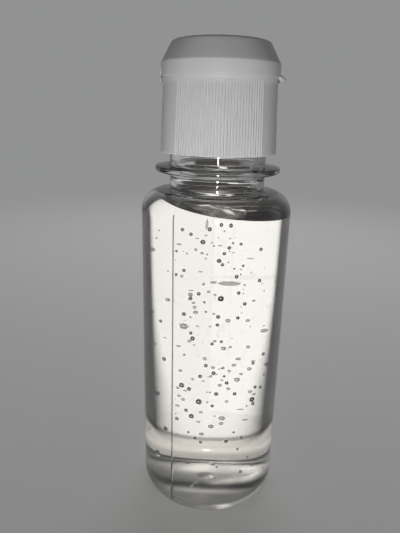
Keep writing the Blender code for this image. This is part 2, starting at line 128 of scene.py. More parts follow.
class Section:
    """Rounds the corners of a section and sets the points along it."""

    @staticmethod
    def arc(
        before: Vector, corner: Vector, after: Vector, leg: float, steps: int | None
    ) -> list[Point2]:
        """Replace a corner by an arc.

        Args:
            before: Corner before this one.
            corner: Corner to round.
            after: Corner after this one.
            leg: Length taken from each of the two edges.
            steps: Number of facets, or None for as many as the arc needs.

        Returns:
            Points of the arc, or the corner itself where the leg is nothing.
        """
        if leg < MERGE:
            return [tuple(corner)]
        to_before, to_after = (before - corner).normalized(), (after - corner).normalized()
        opening = to_before.angle(to_after)
        radius = leg * tan(opening / 2)
        centre = corner + (to_before + to_after).normalized() * (radius / sin(opening / 2))
        start, end = corner + to_before * leg - centre, corner + to_after * leg - centre
        sweep = start.angle_signed(end)
        facet = 2 * acos(max(1 - ARC_TOLERANCE / radius, 0.0))
        steps = steps or max(LEAST_ARC_STEPS, ceil(abs(sweep) / facet))
        turns = [Matrix.Rotation(-sweep * step / steps, 2) for step in range(steps + 1)]
        return [tuple(centre + turn @ start) for turn in turns]

    @classmethod
    def rounded(
        cls, corners: Sequence[tuple[float, ...]], closed: bool = False, steps: int | None = None
    ) -> list[Point2]:
        """Turn corners into an outline with its arcs.

        Args:
            corners: Corners in order, each with the values of a Corner.
            closed: Whether the last corner joins the first.
            steps: Facets of every arc, or None for as many as each arc needs.

        Returns:
            Points of the outline, with roundings limited to the edges that carry them.
        """
        corners = [Corner(*corner) for corner in corners]
        count = len(corners)
        places = [Vector((corner.r, corner.z)) for corner in corners]
        last = count if closed else count - 1
        legs = [0.0] * count
        for index in range(0 if closed else 1, last):
            before, place, after = places[index - 1], places[index], places[(index + 1) % count]
            half_opening = (before - place).angle(after - place) / 2
            legs[index] = corners[index].rounding / tan(half_opening)
        fits = [1.0] * count
        for index in range(last):
            following = (index + 1) % count
            wanted = legs[index] + legs[following]
            length = (places[following] - places[index]).length
            if wanted > length:
                fits[index] = min(fits[index], length / wanted)
                fits[following] = min(fits[following], length / wanted)
        outline: list[Point2] = []
        for index, place in enumerate(places):
            before, after = places[index - 1], places[(index + 1) % count]
            outline.extend(cls.arc(before, place, after, legs[index] * fits[index], steps))
        return outline

    @staticmethod
    def divided(points: Sequence[Point2], longest: float, skin: Skin = Skin.PLAIN) -> list[Station]:
        """Split long edges and mark every point with its skin.

        Args:
            points: Outline points in order.
            longest: Greatest length that an edge may keep.
            skin: Skin of these points.

        Returns:
            Stations in the same order.
        """
        stations = [Station(*points[0], skin)]
        for start, end in zip(points, points[1:]):
            steps = max(1, ceil(dist(start, end) / longest))
            for step in range(1, steps + 1):
                share = step / steps
                r = start[0] + (end[0] - start[0]) * share
                z = start[1] + (end[1] - start[1]) * share
                stations.append(Station(r, z, skin))
        return stations


Relief = Callable[[Station, float], float]


@dataclass
class TurnedForm:
    """Section turned about +Z, with an optional relief that moves its surface in or out."""

    stations: Sequence[Station]
    closed: bool = False
    relief: Relief | None = None
    fine_angles: Sequence[float] = ()

    def angles(self) -> list[float]:
        """Return the angles of the form's columns, in order round the axis.

        Returns:
            Angles from 0 up to a full turn.
        """
        even = [tau * step / FACETS for step in range(FACETS)]
        every = [*even, *self.fine_angles]
        return sorted({round(angle % tau, ANGLE_DIGITS) for angle in every})

    def build(self) -> BMesh:
        """Turn the section about the axis.

        Returns:
            Mesh that is closed at the axis and has its faces outwards.
        """
        bm = bmesh.new()
        angles = self.angles()
        rows = []
        for station in self.stations:
            if station.r < MERGE:
                rows.append([bm.verts.new((0.0, 0.0, station.z))] * len(angles))
                continue
            row = []
            for angle in angles:
                r = station.r + (self.relief(station, angle) if self.relief else 0.0)
                row.append(bm.verts.new(polar(r, angle, station.z)))
            rows.append(row)
        pairs = list(zip(rows, rows[1:]))
        if self.closed:
            pairs.append((rows[-1], rows[0]))
        for lower, upper in pairs:
            for index in range(len(angles)):
                following = (index + 1) % len(angles)
                ring = [lower[index], lower[following], upper[following], upper[index]]
                corners = list(dict.fromkeys(ring))
                if len(corners) > 2:
                    bm.faces.new(corners)
        bmesh.ops.recalc_face_normals(bm, faces=bm.faces)
        return bm


class Forms:
    """Small makers of meshes and objects that several pieces share."""

    @staticmethod
    def lofted(sections: Sequence[Sequence[Sequence[float]]]) -> BMesh:
        """Join equal closed sections into one solid with flat ends.

        Args:
            sections: Sections in order, each with the same number of points.

        Returns:
            Closed mesh with its faces outwards.
        """
        bm = bmesh.new()
        rings = [[bm.verts.new(point) for point in section] for section in sections]
        count = len(rings[0])
        for lower, upper in zip(rings, rings[1:]):
            for index in range(count):
                following = (index + 1) % count
                bm.faces.new((lower[index], lower[following], upper[following], upper[index]))
        bm.faces.new(reversed(rings[0]))
        bm.faces.new(rings[-1])
        bmesh.ops.recalc_face_normals(bm, faces=bm.faces)
        return bm

    @staticmethod
    def linked(name: str, data: ID) -> Object:
        """Add an object to the scene.

        Args:
            name: Name of the object.
            data: Its mesh, lamp or camera.

        Returns:
            The new object, at the origin.
        """
        item = bpy.data.objects.new(name, data)
        bpy.context.scene.collection.objects.link(item)
        return item

    @staticmethod
    def shaded(mesh: Mesh, sharp: float = SHARP_ANGLE) -> None:
        """Shade a mesh smooth, with its sharp edges kept."""
        mesh.shade_smooth()
        mesh.set_sharp_from_angle(angle=sharp)

    @classmethod
    def piece(cls, name: str, bm: BMesh, *finishes: Material) -> Object:
        """Turn a bmesh into a named, shaded object at the origin.

        Args:
            name: Name of the piece.
            bm: Mesh of the piece, which is freed.
            finishes: Materials of the piece in order, or none for a cutter.

        Returns:
            The new object.
        """
        mesh = bpy.data.meshes.new(name)
        bm.to_mesh(mesh)
        bm.free()
        cls.shaded(mesh)
        for finish in finishes:
            mesh.materials.append(finish)
        return cls.linked(name, mesh)

    @staticmethod
    def evaluated(item: Object) -> Mesh:
        """Return a plain mesh of an object with its modifiers applied."""
        depsgraph = bpy.context.evaluated_depsgraph_get()
        return bpy.data.meshes.new_from_object(item.evaluated_get(depsgraph), depsgraph=depsgraph)

    @classmethod
    def combined(cls, item: Object, tools: dict[str, list[Object]]) -> None:
        """Join or cut tools into an object, apply the result and delete the tools.

        Args:
            item: Object to change.
            tools: Lists of tool objects by Boolean operation, in order.
        """
        for operation, items in tools.items():
            for tool in items:
                modifier = item.modifiers.new(tool.name, "BOOLEAN")
                modifier.operation = operation
                modifier.solver = "EXACT"
                modifier.object = tool
        mesh = cls.evaluated(item)
        item.modifiers.clear()
        item.data = mesh
        cls.shaded(mesh)
        for items in tools.values():
            for tool in items:
                bpy.data.objects.remove(tool, do_unlink=True)


class NodeSheet:
    """Thin helper that adds nodes to a tree and wires them."""

    def __init__(self, tree: NodeTree) -> None:
        """Keep the tree that the nodes go into."""
        self.tree = tree

    def fill(self, node: Node, inputs: dict[str | int, object]) -> Node:
        """Link or set inputs of a node.

        Args:
            node: Node to fill.
            inputs: Source socket or plain value of each input, by the input's name or number.

        Returns:
            The same node.
        """
        for name, value in inputs.items():
            target = node.inputs[name]
            if isinstance(value, NodeSocket):
                self.tree.links.new(value, target)
            else:
                target.default_value = (*value, 1.0) if target.type == "RGBA" else value
        return node

    def add(self, kind: str, inputs: dict[str | int, object] | None = None, **settings: object) -> Node:
        """Add a node.

        Args:
            kind: Type of the node.
            inputs: Source socket or plain value of each input, by the input's name or number.
            **settings: Properties of the node.

        Returns:
            The new node.
        """
        node = self.tree.nodes.new(kind)
        for name, value in settings.items():
            setattr(node, name, value)
        return self.fill(node, inputs or {})

    def out(self, kind: str, inputs: dict[str | int, object], **settings: object) -> NodeSocket:
        """Add a node as add does and return its first output."""
        return self.add(kind, inputs, **settings).outputs[0]

    def math(self, operation: str, first: Input, second: Input = 0.0) -> NodeSocket:
        """Calculate with two sockets or numbers and return the result."""
        return self.out("ShaderNodeMath", {0: first, 1: second}, operation=operation)

    def times(self, first: Input, second: Input) -> NodeSocket:
        """Multiply two sockets or numbers and return the result."""
        return self.math("MULTIPLY", first, second)

    def ramp(
        self, value: Input, low: Input, high: Input, to_low: Input = 0.0, to_high: Input = 1.0
    ) -> NodeSocket:
        """Map a value smoothly from the range low to high to another one, and return the result."""
        ends = dict(enumerate((value, low, high, to_low, to_high)))
        return self.out("ShaderNodeMapRange", ends, interpolation_type="SMOOTHSTEP")

    def blend(self, factor: Input, first: Input, second: Input) -> NodeSocket:
        """Mix two colours by a factor and return the result."""
        colours = {0: factor, 6: first, 7: second}
        return self.add("ShaderNodeMix", colours, data_type="RGBA").outputs[2]

    def overlay(self, factor: Input, under: NodeSocket, over: NodeSocket) -> NodeSocket:
        """Mix two shaders by a factor and return the result."""
        return self.out("ShaderNodeMixShader", {0: factor, 1: under, 2: over})

    def vector(self, x: Input, y: Input, z: Input) -> NodeSocket:
        """Put three numbers or sockets together as a vector and return it."""
        return self.out("ShaderNodeCombineXYZ", {"X": x, "Y": y, "Z": z})

    def place(self) -> NodeSocket:
        """Return the piece's own coordinates."""
        return self.add("ShaderNodeTexCoord").outputs["Object"]

    def parts(self, vector: NodeSocket | None = None) -> list[NodeSocket]:
        """Return the X, Y and Z of a vector, or of the piece's own coordinates."""
        source = {"Vector": self.place() if vector is None else vector}
        return list(self.add("ShaderNodeSeparateXYZ", source).outputs)

    def noise(self, scale: float, detail: float, stretch: Point3 = (1.0, 1.0, 1.0)) -> NodeSocket:
        """Add noise on the piece's own coordinates and return its value.

        Args:
            scale: Waves per metre.
            detail: Octaves of finer noise.
            stretch: Scale along X, Y and Z before the noise is read.

        Returns:
            Socket that runs from 0 to 1.
        """
        mapped = self.out("ShaderNodeMapping", {"Vector": self.place(), "Scale": stretch})
        return self.out("ShaderNodeTexNoise", {"Vector": mapped, "Scale": scale, "Detail": detail})

    def bump(self, height: NodeSocket, depth: float, under: NodeSocket | None = None) -> NodeSocket:
        """Turn a height into a bent normal, over another one where there is one, and return it."""
        inputs = {"Height": height, "Distance": depth}
        return self.out("ShaderNodeBump", inputs if under is None else {**inputs, "Normal": under})


class MaterialSheet(NodeSheet):
    """Node tree of a new material that starts with its Principled shader."""

    def __init__(self, name: str) -> None:
        """Start the material.

        Args:
            name: Name of the material.
        """
        self.material = bpy.data.materials.new(name)
        self.material.use_nodes = True
        super().__init__(self.material.node_tree)
        self.shader = self.tree.nodes["Principled BSDF"]

    def show(self, surface: NodeSocket) -> Material:
        """Show a shader as the material's surface and return the material."""
        self.fill(self.tree.nodes["Material Output"], {"Surface": surface})
        return self.material


class EdgeBand(NamedTuple):
    """Turn of a clear surface over which its painted edge shade sets in, at one height of the piece."""

    z: float
    start: float
    end: float


@dataclass(frozen=True)
class PartingTint:
    """Hair line where the two halves of the mould met, whose dark tint is painted shade."""

    angle: float
    inner_r: float
    core: float
    reach: float
    colour: Colour

    def over(self, sheet: NodeSheet, colour: NodeSocket) -> NodeSocket:
        """Lay the line's painted shade over a colour.

        Args:
            sheet: Tree that the nodes go into.
            colour: Colour beside the line.

        Returns:
            Colour with the line.
        """
        x, y, _ = sheet.parts()
        along_x, along_y = sheet.times(x, sin(self.angle)), sheet.times(y, cos(self.angle))
        away = sheet.math("ABSOLUTE", sheet.math("SUBTRACT", along_x, along_y))
        line = sheet.ramp(away, self.core, self.reach, 1.0, 0.0)
        square = sheet.math("ADD", sheet.times(x, x), sheet.times(y, y))
        outside = sheet.math("GREATER_THAN", square, self.inner_r**2)
        # Painted shade: the line's dark tint stands in for the dark that its ridge throws.
        return sheet.blend(sheet.times(line, outside), colour, self.colour)


@dataclass(frozen=True)
class ClearFinish:
    """Clear, glossy material that light passes through, such as the bottle's wall or the gel."""

    name: str
    body: Colour
    haze: Colour
    # edge is the painted shade that the colour turns to at grazing angles, for dark surroundings seen
    # through.
    edge: Colour
    ior: float
    low_band: EdgeBand
    roughness: float
    high_band: EdgeBand | None = None
    haze_scale: float = 90.0
    speck_scale: float = 700.0
    speck_range: tuple[float, float] = (0.3, 0.8)
    speck_gain: float = 2.2
    wave_scale: float = 150.0
    wave_depth: float = 0.001 * MM
    wave_stretch: Point3 = (1.0, 1.0, 0.45)
    shadow: Colour = (0.97, 0.97, 0.97)
    parting: PartingTint | None = None
    # banded holds the painted edge shade full between two heights, fading it above and weakening it below.
    banded: tuple[float, float] | None = None
    beyond_band: tuple[float, float] = (0.05, 0.3)
    beyond_z: float = 5.0 * MM
    frost: float = 0.0
    frost_z: float = 3.6 * MM

    def painted_edge_shade_share(self, sheet: NodeSheet) -> NodeSocket:
        """Return how far the surface has turned into its painted edge shade.

        Args:
            sheet: Tree that the nodes go into.

        Returns:
            Socket that runs from 0 on the clear face to 1 at the edge.
        """
        z, (low_z, start, end) = sheet.parts()[2], self.low_band
        if self.high_band is not None:
            high_z, high_start, high_end = self.high_band
            start = sheet.ramp(z, low_z, high_z, start, high_start)
            end = sheet.ramp(z, low_z, high_z, end, high_end)
        share = sheet.ramp(sheet.add("ShaderNodeLayerWeight").outputs["Facing"], start, end)
        if self.banded is None:
            return share
        foot, top = self.banded
        beyond = sheet.ramp(z, self.beyond_z, self.beyond_z + FADE, *self.beyond_band)
        held = sheet.ramp(z, foot, foot + FADE / 2, beyond, 1.0)
        return sheet.times(sheet.times(share, held), sheet.ramp(z, top, top + FADE, 1.0, 0.0))

    def make(self) -> Material:
        """Make the node material.

        Returns:
            Principled glass with painted shade at its grazing edges, and which lets lamps through.
        """
        sheet = MaterialSheet(self.name)
        clear = sheet.blend(sheet.noise(self.haze_scale, detail=2.0), self.body, self.haze)
        # Painted shade: the clear colour darkens towards the grazing edges.
        colour = sheet.blend(self.painted_edge_shade_share(sheet), clear, self.edge)
        if self.parting is not None:
            colour = self.parting.over(sheet, colour)
        speck, roughest = sheet.noise(self.speck_scale, detail=2.0), self.roughness * self.speck_gain
        rough = sheet.ramp(speck, *self.speck_range, self.roughness, roughest)
        if self.frost > 0.0:
            z = sheet.parts()[2]
            frosted = sheet.ramp(z, self.frost_z, self.frost_z + FADE, self.frost, 0.0)
            rough = sheet.math("MAXIMUM", rough, frosted)
        waves = sheet.noise(self.wave_scale, detail=1.0, stretch=self.wave_stretch)
        sheet.fill(sheet.shader, {
            "Base Color": colour, "Roughness": rough, "Normal": sheet.bump(waves, self.wave_depth),
            "IOR": self.ior, "Transmission Weight": 1.0,
        })
        in_shadow = sheet.add("ShaderNodeLightPath").outputs["Is Shadow Ray"]
        through = sheet.out("ShaderNodeBsdfTransparent", {"Color": self.shadow})
        return sheet.show(sheet.overlay(in_shadow, sheet.shader.outputs["BSDF"], through))


@dataclass(frozen=True)
class MouldedFinish:
    """Opaque moulded plastic or foam with a fine skin, faint clouding and small scuffs."""

    name: str
    light: Colour
    dark: Colour
    roughness_low: float
    roughness_high: float
    grain_scale: float
    grain_depth: float
    specular: float = 0.5
    cloud_scale: float = 160.0
    cloud_stretch: Point3 = (1.0, 1.0, 0.5)
    sheen_scale: float = 420.0
    flow_scale: float = 230.0
    flow_stretch: Point3 = (1.0, 1.0, 0.2)
    flow_depth: float = 0.01 * MM

    def make(self) -> Material:
        """Make the node material.

        Returns:
            Principled plastic with clouds in its colour, patches in its sheen and a fine grain.
        """
        sheet = MaterialSheet(self.name)
        cloud = sheet.noise(self.cloud_scale, detail=3.0, stretch=self.cloud_stretch)
        clouds = sheet.ramp(cloud, *MID_TONES)
        sheen = sheet.noise(self.sheen_scale, detail=3.0)
        grain = sheet.bump(sheet.noise(self.grain_scale, detail=2.0), self.grain_depth)
        flow = sheet.noise(self.flow_scale, detail=1.0, stretch=self.flow_stretch)
        sheet.fill(sheet.shader, {
            "Base Color": sheet.blend(clouds, self.light, self.dark),
            "Roughness": sheet.ramp(sheen, *MID_TONES, self.roughness_low, self.roughness_high),
            "Normal": sheet.bump(flow, self.flow_depth, grain), "Specular IOR Level": self.specular,
        })
        return sheet.material


PARTING_ANGLE = radians(-120.0)


class Finish(Enum):
    """The finishes that the object's pieces take."""

    # Painted shade: edge darkens the wall's grazing edges between foot and shoulder, and the parting tint
    # is painted shade.
    BOTTLE = ClearFinish(
        name="clear_bottle_plastic", body=(0.997, 0.997, 0.995), haze=(0.985, 0.987, 0.983),
        edge=(0.008, 0.0082, 0.0088), ior=PLASTIC_IOR, low_band=EdgeBand(24.0 * MM, 0.20, 0.57),
        high_band=EdgeBand(66.0 * MM, 0.46, 0.575), roughness=0.006, wave_scale=120.0,
        wave_depth=0.02 * MM, shadow=(0.93, 0.93, 0.92), banded=(21.0 * MM, 82.5 * MM), frost=0.12,
        parting=PartingTint(
            angle=PARTING_ANGLE, inner_r=18.8 * MM, core=0.12 * MM, reach=0.26 * MM,
            colour=(0.06, 0.06, 0.06),
        ),
    )
    # Painted shade: edge greys the gel slightly at grazing angles.
    GEL = ClearFinish(
        name="clear_gel", body=(0.998, 0.994, 0.985), haze=(0.99, 0.985, 0.972),
        edge=(0.9, 0.895, 0.88), ior=GEL_IOR, low_band=EdgeBand(0.0, 0.6, 0.95), roughness=0.004,
        wave_depth=0.004 * MM, shadow=(0.985, 0.985, 0.98), frost=0.12,
    )
    # Painted shade: edge turns the open surface nearly black at grazing angles, for the dark that it
    # mirrors.
    GEL_SURFACE = ClearFinish(
        name="open_gel_surface", body=(0.98, 0.975, 0.965), haze=(0.90, 0.895, 0.88),
        edge=(0.028, 0.0243, 0.0205), ior=GEL_IOR, low_band=EdgeBand(0.0, 0.42, 0.72),
        roughness=0.02, wave_scale=420.0, wave_depth=0.06 * MM, shadow=(0.96, 0.96, 0.95),
    )
    # Painted shade: edge darkens the bubbles' rims nearly to black.
    BUBBLE = ClearFinish(
        name="air_bubble_skin", body=(0.99, 0.99, 0.985), haze=(0.97, 0.97, 0.965),
        edge=(0.02, 0.02, 0.02), ior=GEL_IOR, low_band=EdgeBand(0.0, 0.015, 0.06), roughness=0.004,
    )
    # Painted shade: the grey body and darker rims make these bubbles dim.
    SOFT_BUBBLE = ClearFinish(
        name="faint_bubble_skin", body=(0.72, 0.72, 0.71), haze=(0.62, 0.62, 0.61),
        edge=(0.38, 0.38, 0.375), ior=GEL_IOR, low_band=EdgeBand(0.0, 0.02, 0.12), roughness=0.03,
    )
    # Painted shade: the grey body dims what is seen through these flat bubbles, which barely bend light.
    SMEAR = ClearFinish(
        name="smeared_gel", body=(0.47, 0.47, 0.465), haze=(0.38, 0.38, 0.375),
        edge=(0.50, 0.50, 0.495), ior=1.01, low_band=EdgeBand(0.0, 0.5, 0.95), roughness=0.03,
    )
    CAP = MouldedFinish(
        name="white_cap_plastic", light=(0.515, 0.517, 0.522), dark=(0.49, 0.492, 0.497),
        roughness_low=0.31, roughness_high=0.40, grain_scale=5200.0, grain_depth=0.0012 * MM,
        specular=0.25,
    )
    HINGE = MouldedFinish(
        name="white_hinge_film", light=(0.42, 0.422, 0.427), dark=(0.40, 0.402, 0.407),
        roughness_low=0.4, roughness_high=0.5, grain_scale=5200.0, grain_depth=0.003 * MM,
    )
    LINER = MouldedFinish(
        name="white_liner_foam", light=(0.72, 0.72, 0.70), dark=(0.64, 0.64, 0.62),
        roughness_low=0.7, roughness_high=0.85, grain_scale=2600.0, grain_depth=0.03 * MM,
        specular=0.25,
    )


@dataclass(frozen=True)
class Helix:
    """Screw-thread ridge, whose crest stands out from a wall or into a bore."""

    low_z: float
    turns: float
    pitch: float
    start_angle: float
    crest_half: float
    root_half: float
    height: float
    run_out: float = radians(25.0)

    def rise(self, angle: float, z: float) -> float:
        """Return how far the ridge stands up at an angle and a height.

        Args:
            angle: Angle from +X.
            z: Height.

        Returns:
            Rise in metres, which is 0 away from the ridge.
        """
        most = 0.0
        total = self.turns * tau
        first = (angle - self.start_angle) % tau
        for lap in range(ceil(self.turns) + 1):
            turn = first + tau * lap
            if turn > total:
                break
            away = abs(z - (self.low_z + self.pitch * turn / tau))
            flank = 1.0 - smooth_step(away, self.crest_half, self.root_half)
            ends = smooth_step(turn, 0.0, self.run_out) * smooth_step(total - turn, 0.0, self.run_out)
            most = max(most, flank * ends)
        return self.height * most


@dataclass
class Bottle:
    """Blow-moulded bottle with its neck, support ring and threaded finish."""

    body_r: float = 19.0 * MM
    shoulder_z: float = 86.5 * MM
    shoulder_rounding: float = 5.2 * MM
    slope_rise: float = 0.5 * MM
    wall: float = 0.8 * MM
    heel_rounding: float = 4.0 * MM
    standing_width: float = 2.4 * MM
    push_up: float = 3.0 * MM
    base_thickness: float = 1.0 * MM
    gate_r: float = 1.5 * MM
    gate_depth: float = 0.5 * MM
    gate_rounding: float = 0.2 * MM
    neck_r: float = 11.9 * MM
    neck_length: float = 4.4 * MM
    neck_root_rounding: float = 0.8 * MM
    neck_wall: float = 1.4 * MM
    ring_reach: float = 3.65 * MM
    ring_thickness: float = 1.35 * MM
    ring_rim_rounding: float = 0.6 * MM
    ring_root_rounding: float = 0.4 * MM
    crown_rise: float = 0.55 * MM
    crown_reach: float = 0.5 * MM
    finish_height: float = 16.9 * MM
    finish_step: float = 0.95 * MM
    finish_step_slope: float = 0.6 * MM
    finish_wall: float = 1.35 * MM
    mouth_rounding: float = 0.4 * MM
    cap_gap: float = 2.65 * MM
    parting_angle: float = PARTING_ANGLE
    parting_half_width: float = 0.18 * MM
    parting_height: float = 0.08 * MM
    parting_steps: int = 8
    thread_pitch: float = 3.175 * MM
    thread_turns: float = 1.5
    thread_below_rim: float = 1.3 * MM
    thread_height: float = 0.85 * MM
    thread_start: float = radians(-70.0)
    thread_crest_half: float = 0.3 * MM
    thread_root_half: float = 0.85 * MM
    dome_steps: int = 20
    row_height: float = 1.6 * MM
    neck_row_height: float = 0.22 * MM
    thread_row_height: float = 0.2 * MM
    ripple_depth: float = 0.022 * MM
    ripple_length: float = 1.15 * MM

    def __post_init__(self) -> None:
        """Work out the heights and radii that follow from the sizes, and the thread's ridge."""
        self.neck_root_z = self.shoulder_z + self.slope_rise
        self.ring_z = self.neck_root_z + self.neck_length
        self.crown_z = self.ring_z + self.ring_thickness + self.crown_rise
        self.rim_z = self.crown_z + self.finish_height
        self.finish_r = self.neck_r - self.finish_step
        self.mouth_r = self.finish_r - self.finish_wall
        self.thread = Helix(
            low_z=self.rim_z - self.thread_below_rim - self.thread_turns * self.thread_pitch,
            turns=self.thread_turns, pitch=self.thread_pitch, start_angle=self.thread_start,
            crest_half=self.thread_crest_half, root_half=self.thread_root_half,
            height=self.thread_height,
        )

    def dome(self, edge_z: float, from_r: float) -> list[Point2]:
        """Return points on the pushed-up middle of the base.

        Args:
            edge_z: Height of the edge.
            from_r: Radius at which the points end.

        Returns:
            Outline points, from the edge inwards.
        """
        edge_r = self.body_r - self.heel_rounding - self.standing_width
        sphere_r = (edge_r**2 + self.push_up**2) / (2 * self.push_up)
        points = []
        for step in range(self.dome_steps + 1):
            r = edge_r + (from_r - edge_r) * step / self.dome_steps
            points.append((r, edge_z + sqrt(sphere_r**2 - r**2) - (sphere_r - self.push_up)))
        return points

    def inner_base(self, inset: float) -> list[Point2]:
        """Floor inside the bottle, from the wall in to the axis.

        Args:
            inset: How far inside the bottle's own inner surface the outline lies.

        Returns:
            Outline points, which start half-way up the wall.
        """
        lift = self.base_thickness + inset
        dome = self.dome(lift, 0.0)
        wall_r = self.body_r - self.wall - inset
        heel = self.heel_rounding - self.wall - inset
        corners = [(wall_r, self.shoulder_z / 2), (wall_r, lift, heel), dome[0]]
        return Section.rounded(corners)[:-1] + dome

    def inner_shoulder(self, inset: float) -> list[Point2]:
        """Inside of the shoulder, from the neck's root out and down.

        Args:
            inset: How far inside the bottle's own inner surface the outline lies.

        Returns:
            Outline points, which end half-way up the wall.
        """
        bore_r, wall_r = self.neck_r - self.neck_wall - inset, self.body_r - self.wall - inset
        return Section.rounded([
            (bore_r, self.ring_z - self.neck_wall),
            (bore_r, self.neck_root_z - self.wall - inset, self.neck_root_rounding),
            (wall_r, self.shoulder_z - self.wall - inset, self.shoulder_rounding - self.wall - inset),
            (wall_r, self.shoulder_z / 2),
        ])

    def stations(self) -> list[Station]:
        """Whole section: underside, outside, finish, mouth, bore and inner floor.

        Returns:
            Stations from the middle of the underside round to the middle of the floor.
        """
        dome = self.dome(0.0, self.gate_r)
        gate_top = dome[-1][1]
        gate = [
            (0.0, gate_top - self.gate_depth),
            (self.gate_r, gate_top - self.gate_depth, self.gate_rounding),
            (self.gate_r, gate_top, self.gate_rounding), dome[-2],
        ]
        underside = Section.rounded(gate) + dome[-3::-1]
        step_z = self.crown_z + self.cap_gap + self.finish_step
        body = Section.rounded([
            dome[0], (self.body_r, 0.0, self.heel_rounding),
            (self.body_r, self.shoulder_z, self.shoulder_rounding),
            (self.neck_r, self.neck_root_z, self.neck_root_rounding),
            (self.neck_r, self.neck_root_z + self.neck_root_rounding),
        ])
        neck = Section.rounded([
            (self.neck_r, self.neck_root_z + self.neck_root_rounding),
            (self.neck_r, self.ring_z, self.ring_root_rounding),
            (self.neck_r + self.ring_reach, self.ring_z, self.ring_rim_rounding),
            (self.neck_r + self.ring_reach, self.ring_z + self.ring_thickness, self.ring_rim_rounding),
            (self.neck_r + self.crown_reach, self.crown_z, self.ring_root_rounding),
            (self.neck_r, self.crown_z + self.crown_reach, self.ring_root_rounding / 2),
            (self.neck_r, step_z, self.ring_root_rounding),
            (self.finish_r, step_z + self.finish_step_slope),
        ])
        finish = Section.rounded([
            (self.finish_r, step_z + self.finish_step_slope),
            (self.finish_r, self.rim_z, self.mouth_rounding),
            (self.mouth_r, self.rim_z, self.mouth_rounding / 2),
            (self.mouth_r, self.rim_z - self.mouth_rounding),
        ])
        bore = [finish[-1], (self.mouth_r, self.ring_z), *self.inner_shoulder(0.0)]
        moulded = Section.divided(underside + body[1:], self.row_height, Skin.MOULDED)
        ringed = Section.divided(neck, self.neck_row_height, Skin.MOULDED)
        threaded = Section.divided(finish, self.thread_row_height, Skin.THREADED)
        bore_skin = Section.divided(bore + self.inner_base(0.0)[1:], self.row_height)
        return moulded + ringed[1:] + threaded[1:] + bore_skin[1:]

    def parting_angles(self) -> list[float]:
        """Angles of the two parting lines of the mould."""
        return [self.parting_angle, self.parting_angle + pi]

    def fine_angles(self) -> list[float]:
        """Extra columns across each parting line.

        Returns:
            Angles out to twice the line's half width on each side.
        """
        turn = 2 * self.parting_half_width / self.body_r
        shares = [step / self.parting_steps for step in range(-self.parting_steps, self.parting_steps + 1)]
        return [line + turn * share for line in self.parting_angles() for share in shares]

    def neck_ripple(self, station: Station, angle: float) -> float:
        """Return the shallow waves that moulding leaves round the neck below the ring.

        Args:
            station: Point of the section.
            angle: Angle from +X.

        Returns:
            Move of the surface, which is inwards and so negative.
        """
        low, high = self.neck_root_z + self.neck_root_rounding, self.ring_z
        inside = smooth_step(station.z, low, low + self.ripple_length / 2)
        top = high - self.ring_root_rounding
        inside *= 1.0 - smooth_step(station.z, high - self.ripple_length, top)
        phase = tau * station.z / self.ripple_length + sin(2.0 * angle)
        return -self.ripple_depth * inside * (0.5 - 0.5 * sin(phase))

    def relief(self, station: Station, angle: float) -> float:
        """Return how far the parting lines or the thread stand out at a place on the skin.

        Args:
            station: Point of the section.
            angle: Angle from +X.

        Returns:
            Move of the surface, outwards where it is positive.
        """
        if station.skin is Skin.THREADED and station.r > self.finish_r - self.mouth_rounding:
            return self.thread.rise(angle, station.z)
        if station.skin is not Skin.MOULDED or station.z < self.heel_rounding / 2:
            return 0.0
        if station.z > self.neck_root_z:
            return self.neck_ripple(station, angle)
        rise = 0.0
        for line in self.parting_angles():
            away = turned_away(line, angle) * self.body_r / self.parting_half_width
            rise += self.parting_height * exp(-away * away)
        return rise

    def build(self) -> Object:
        """Make the bottle."""
        form = TurnedForm(self.stations(), relief=self.relief, fine_angles=self.fine_angles())
        return Forms.piece("bottle_shell", form.build(), Finish.BOTTLE.value.make())


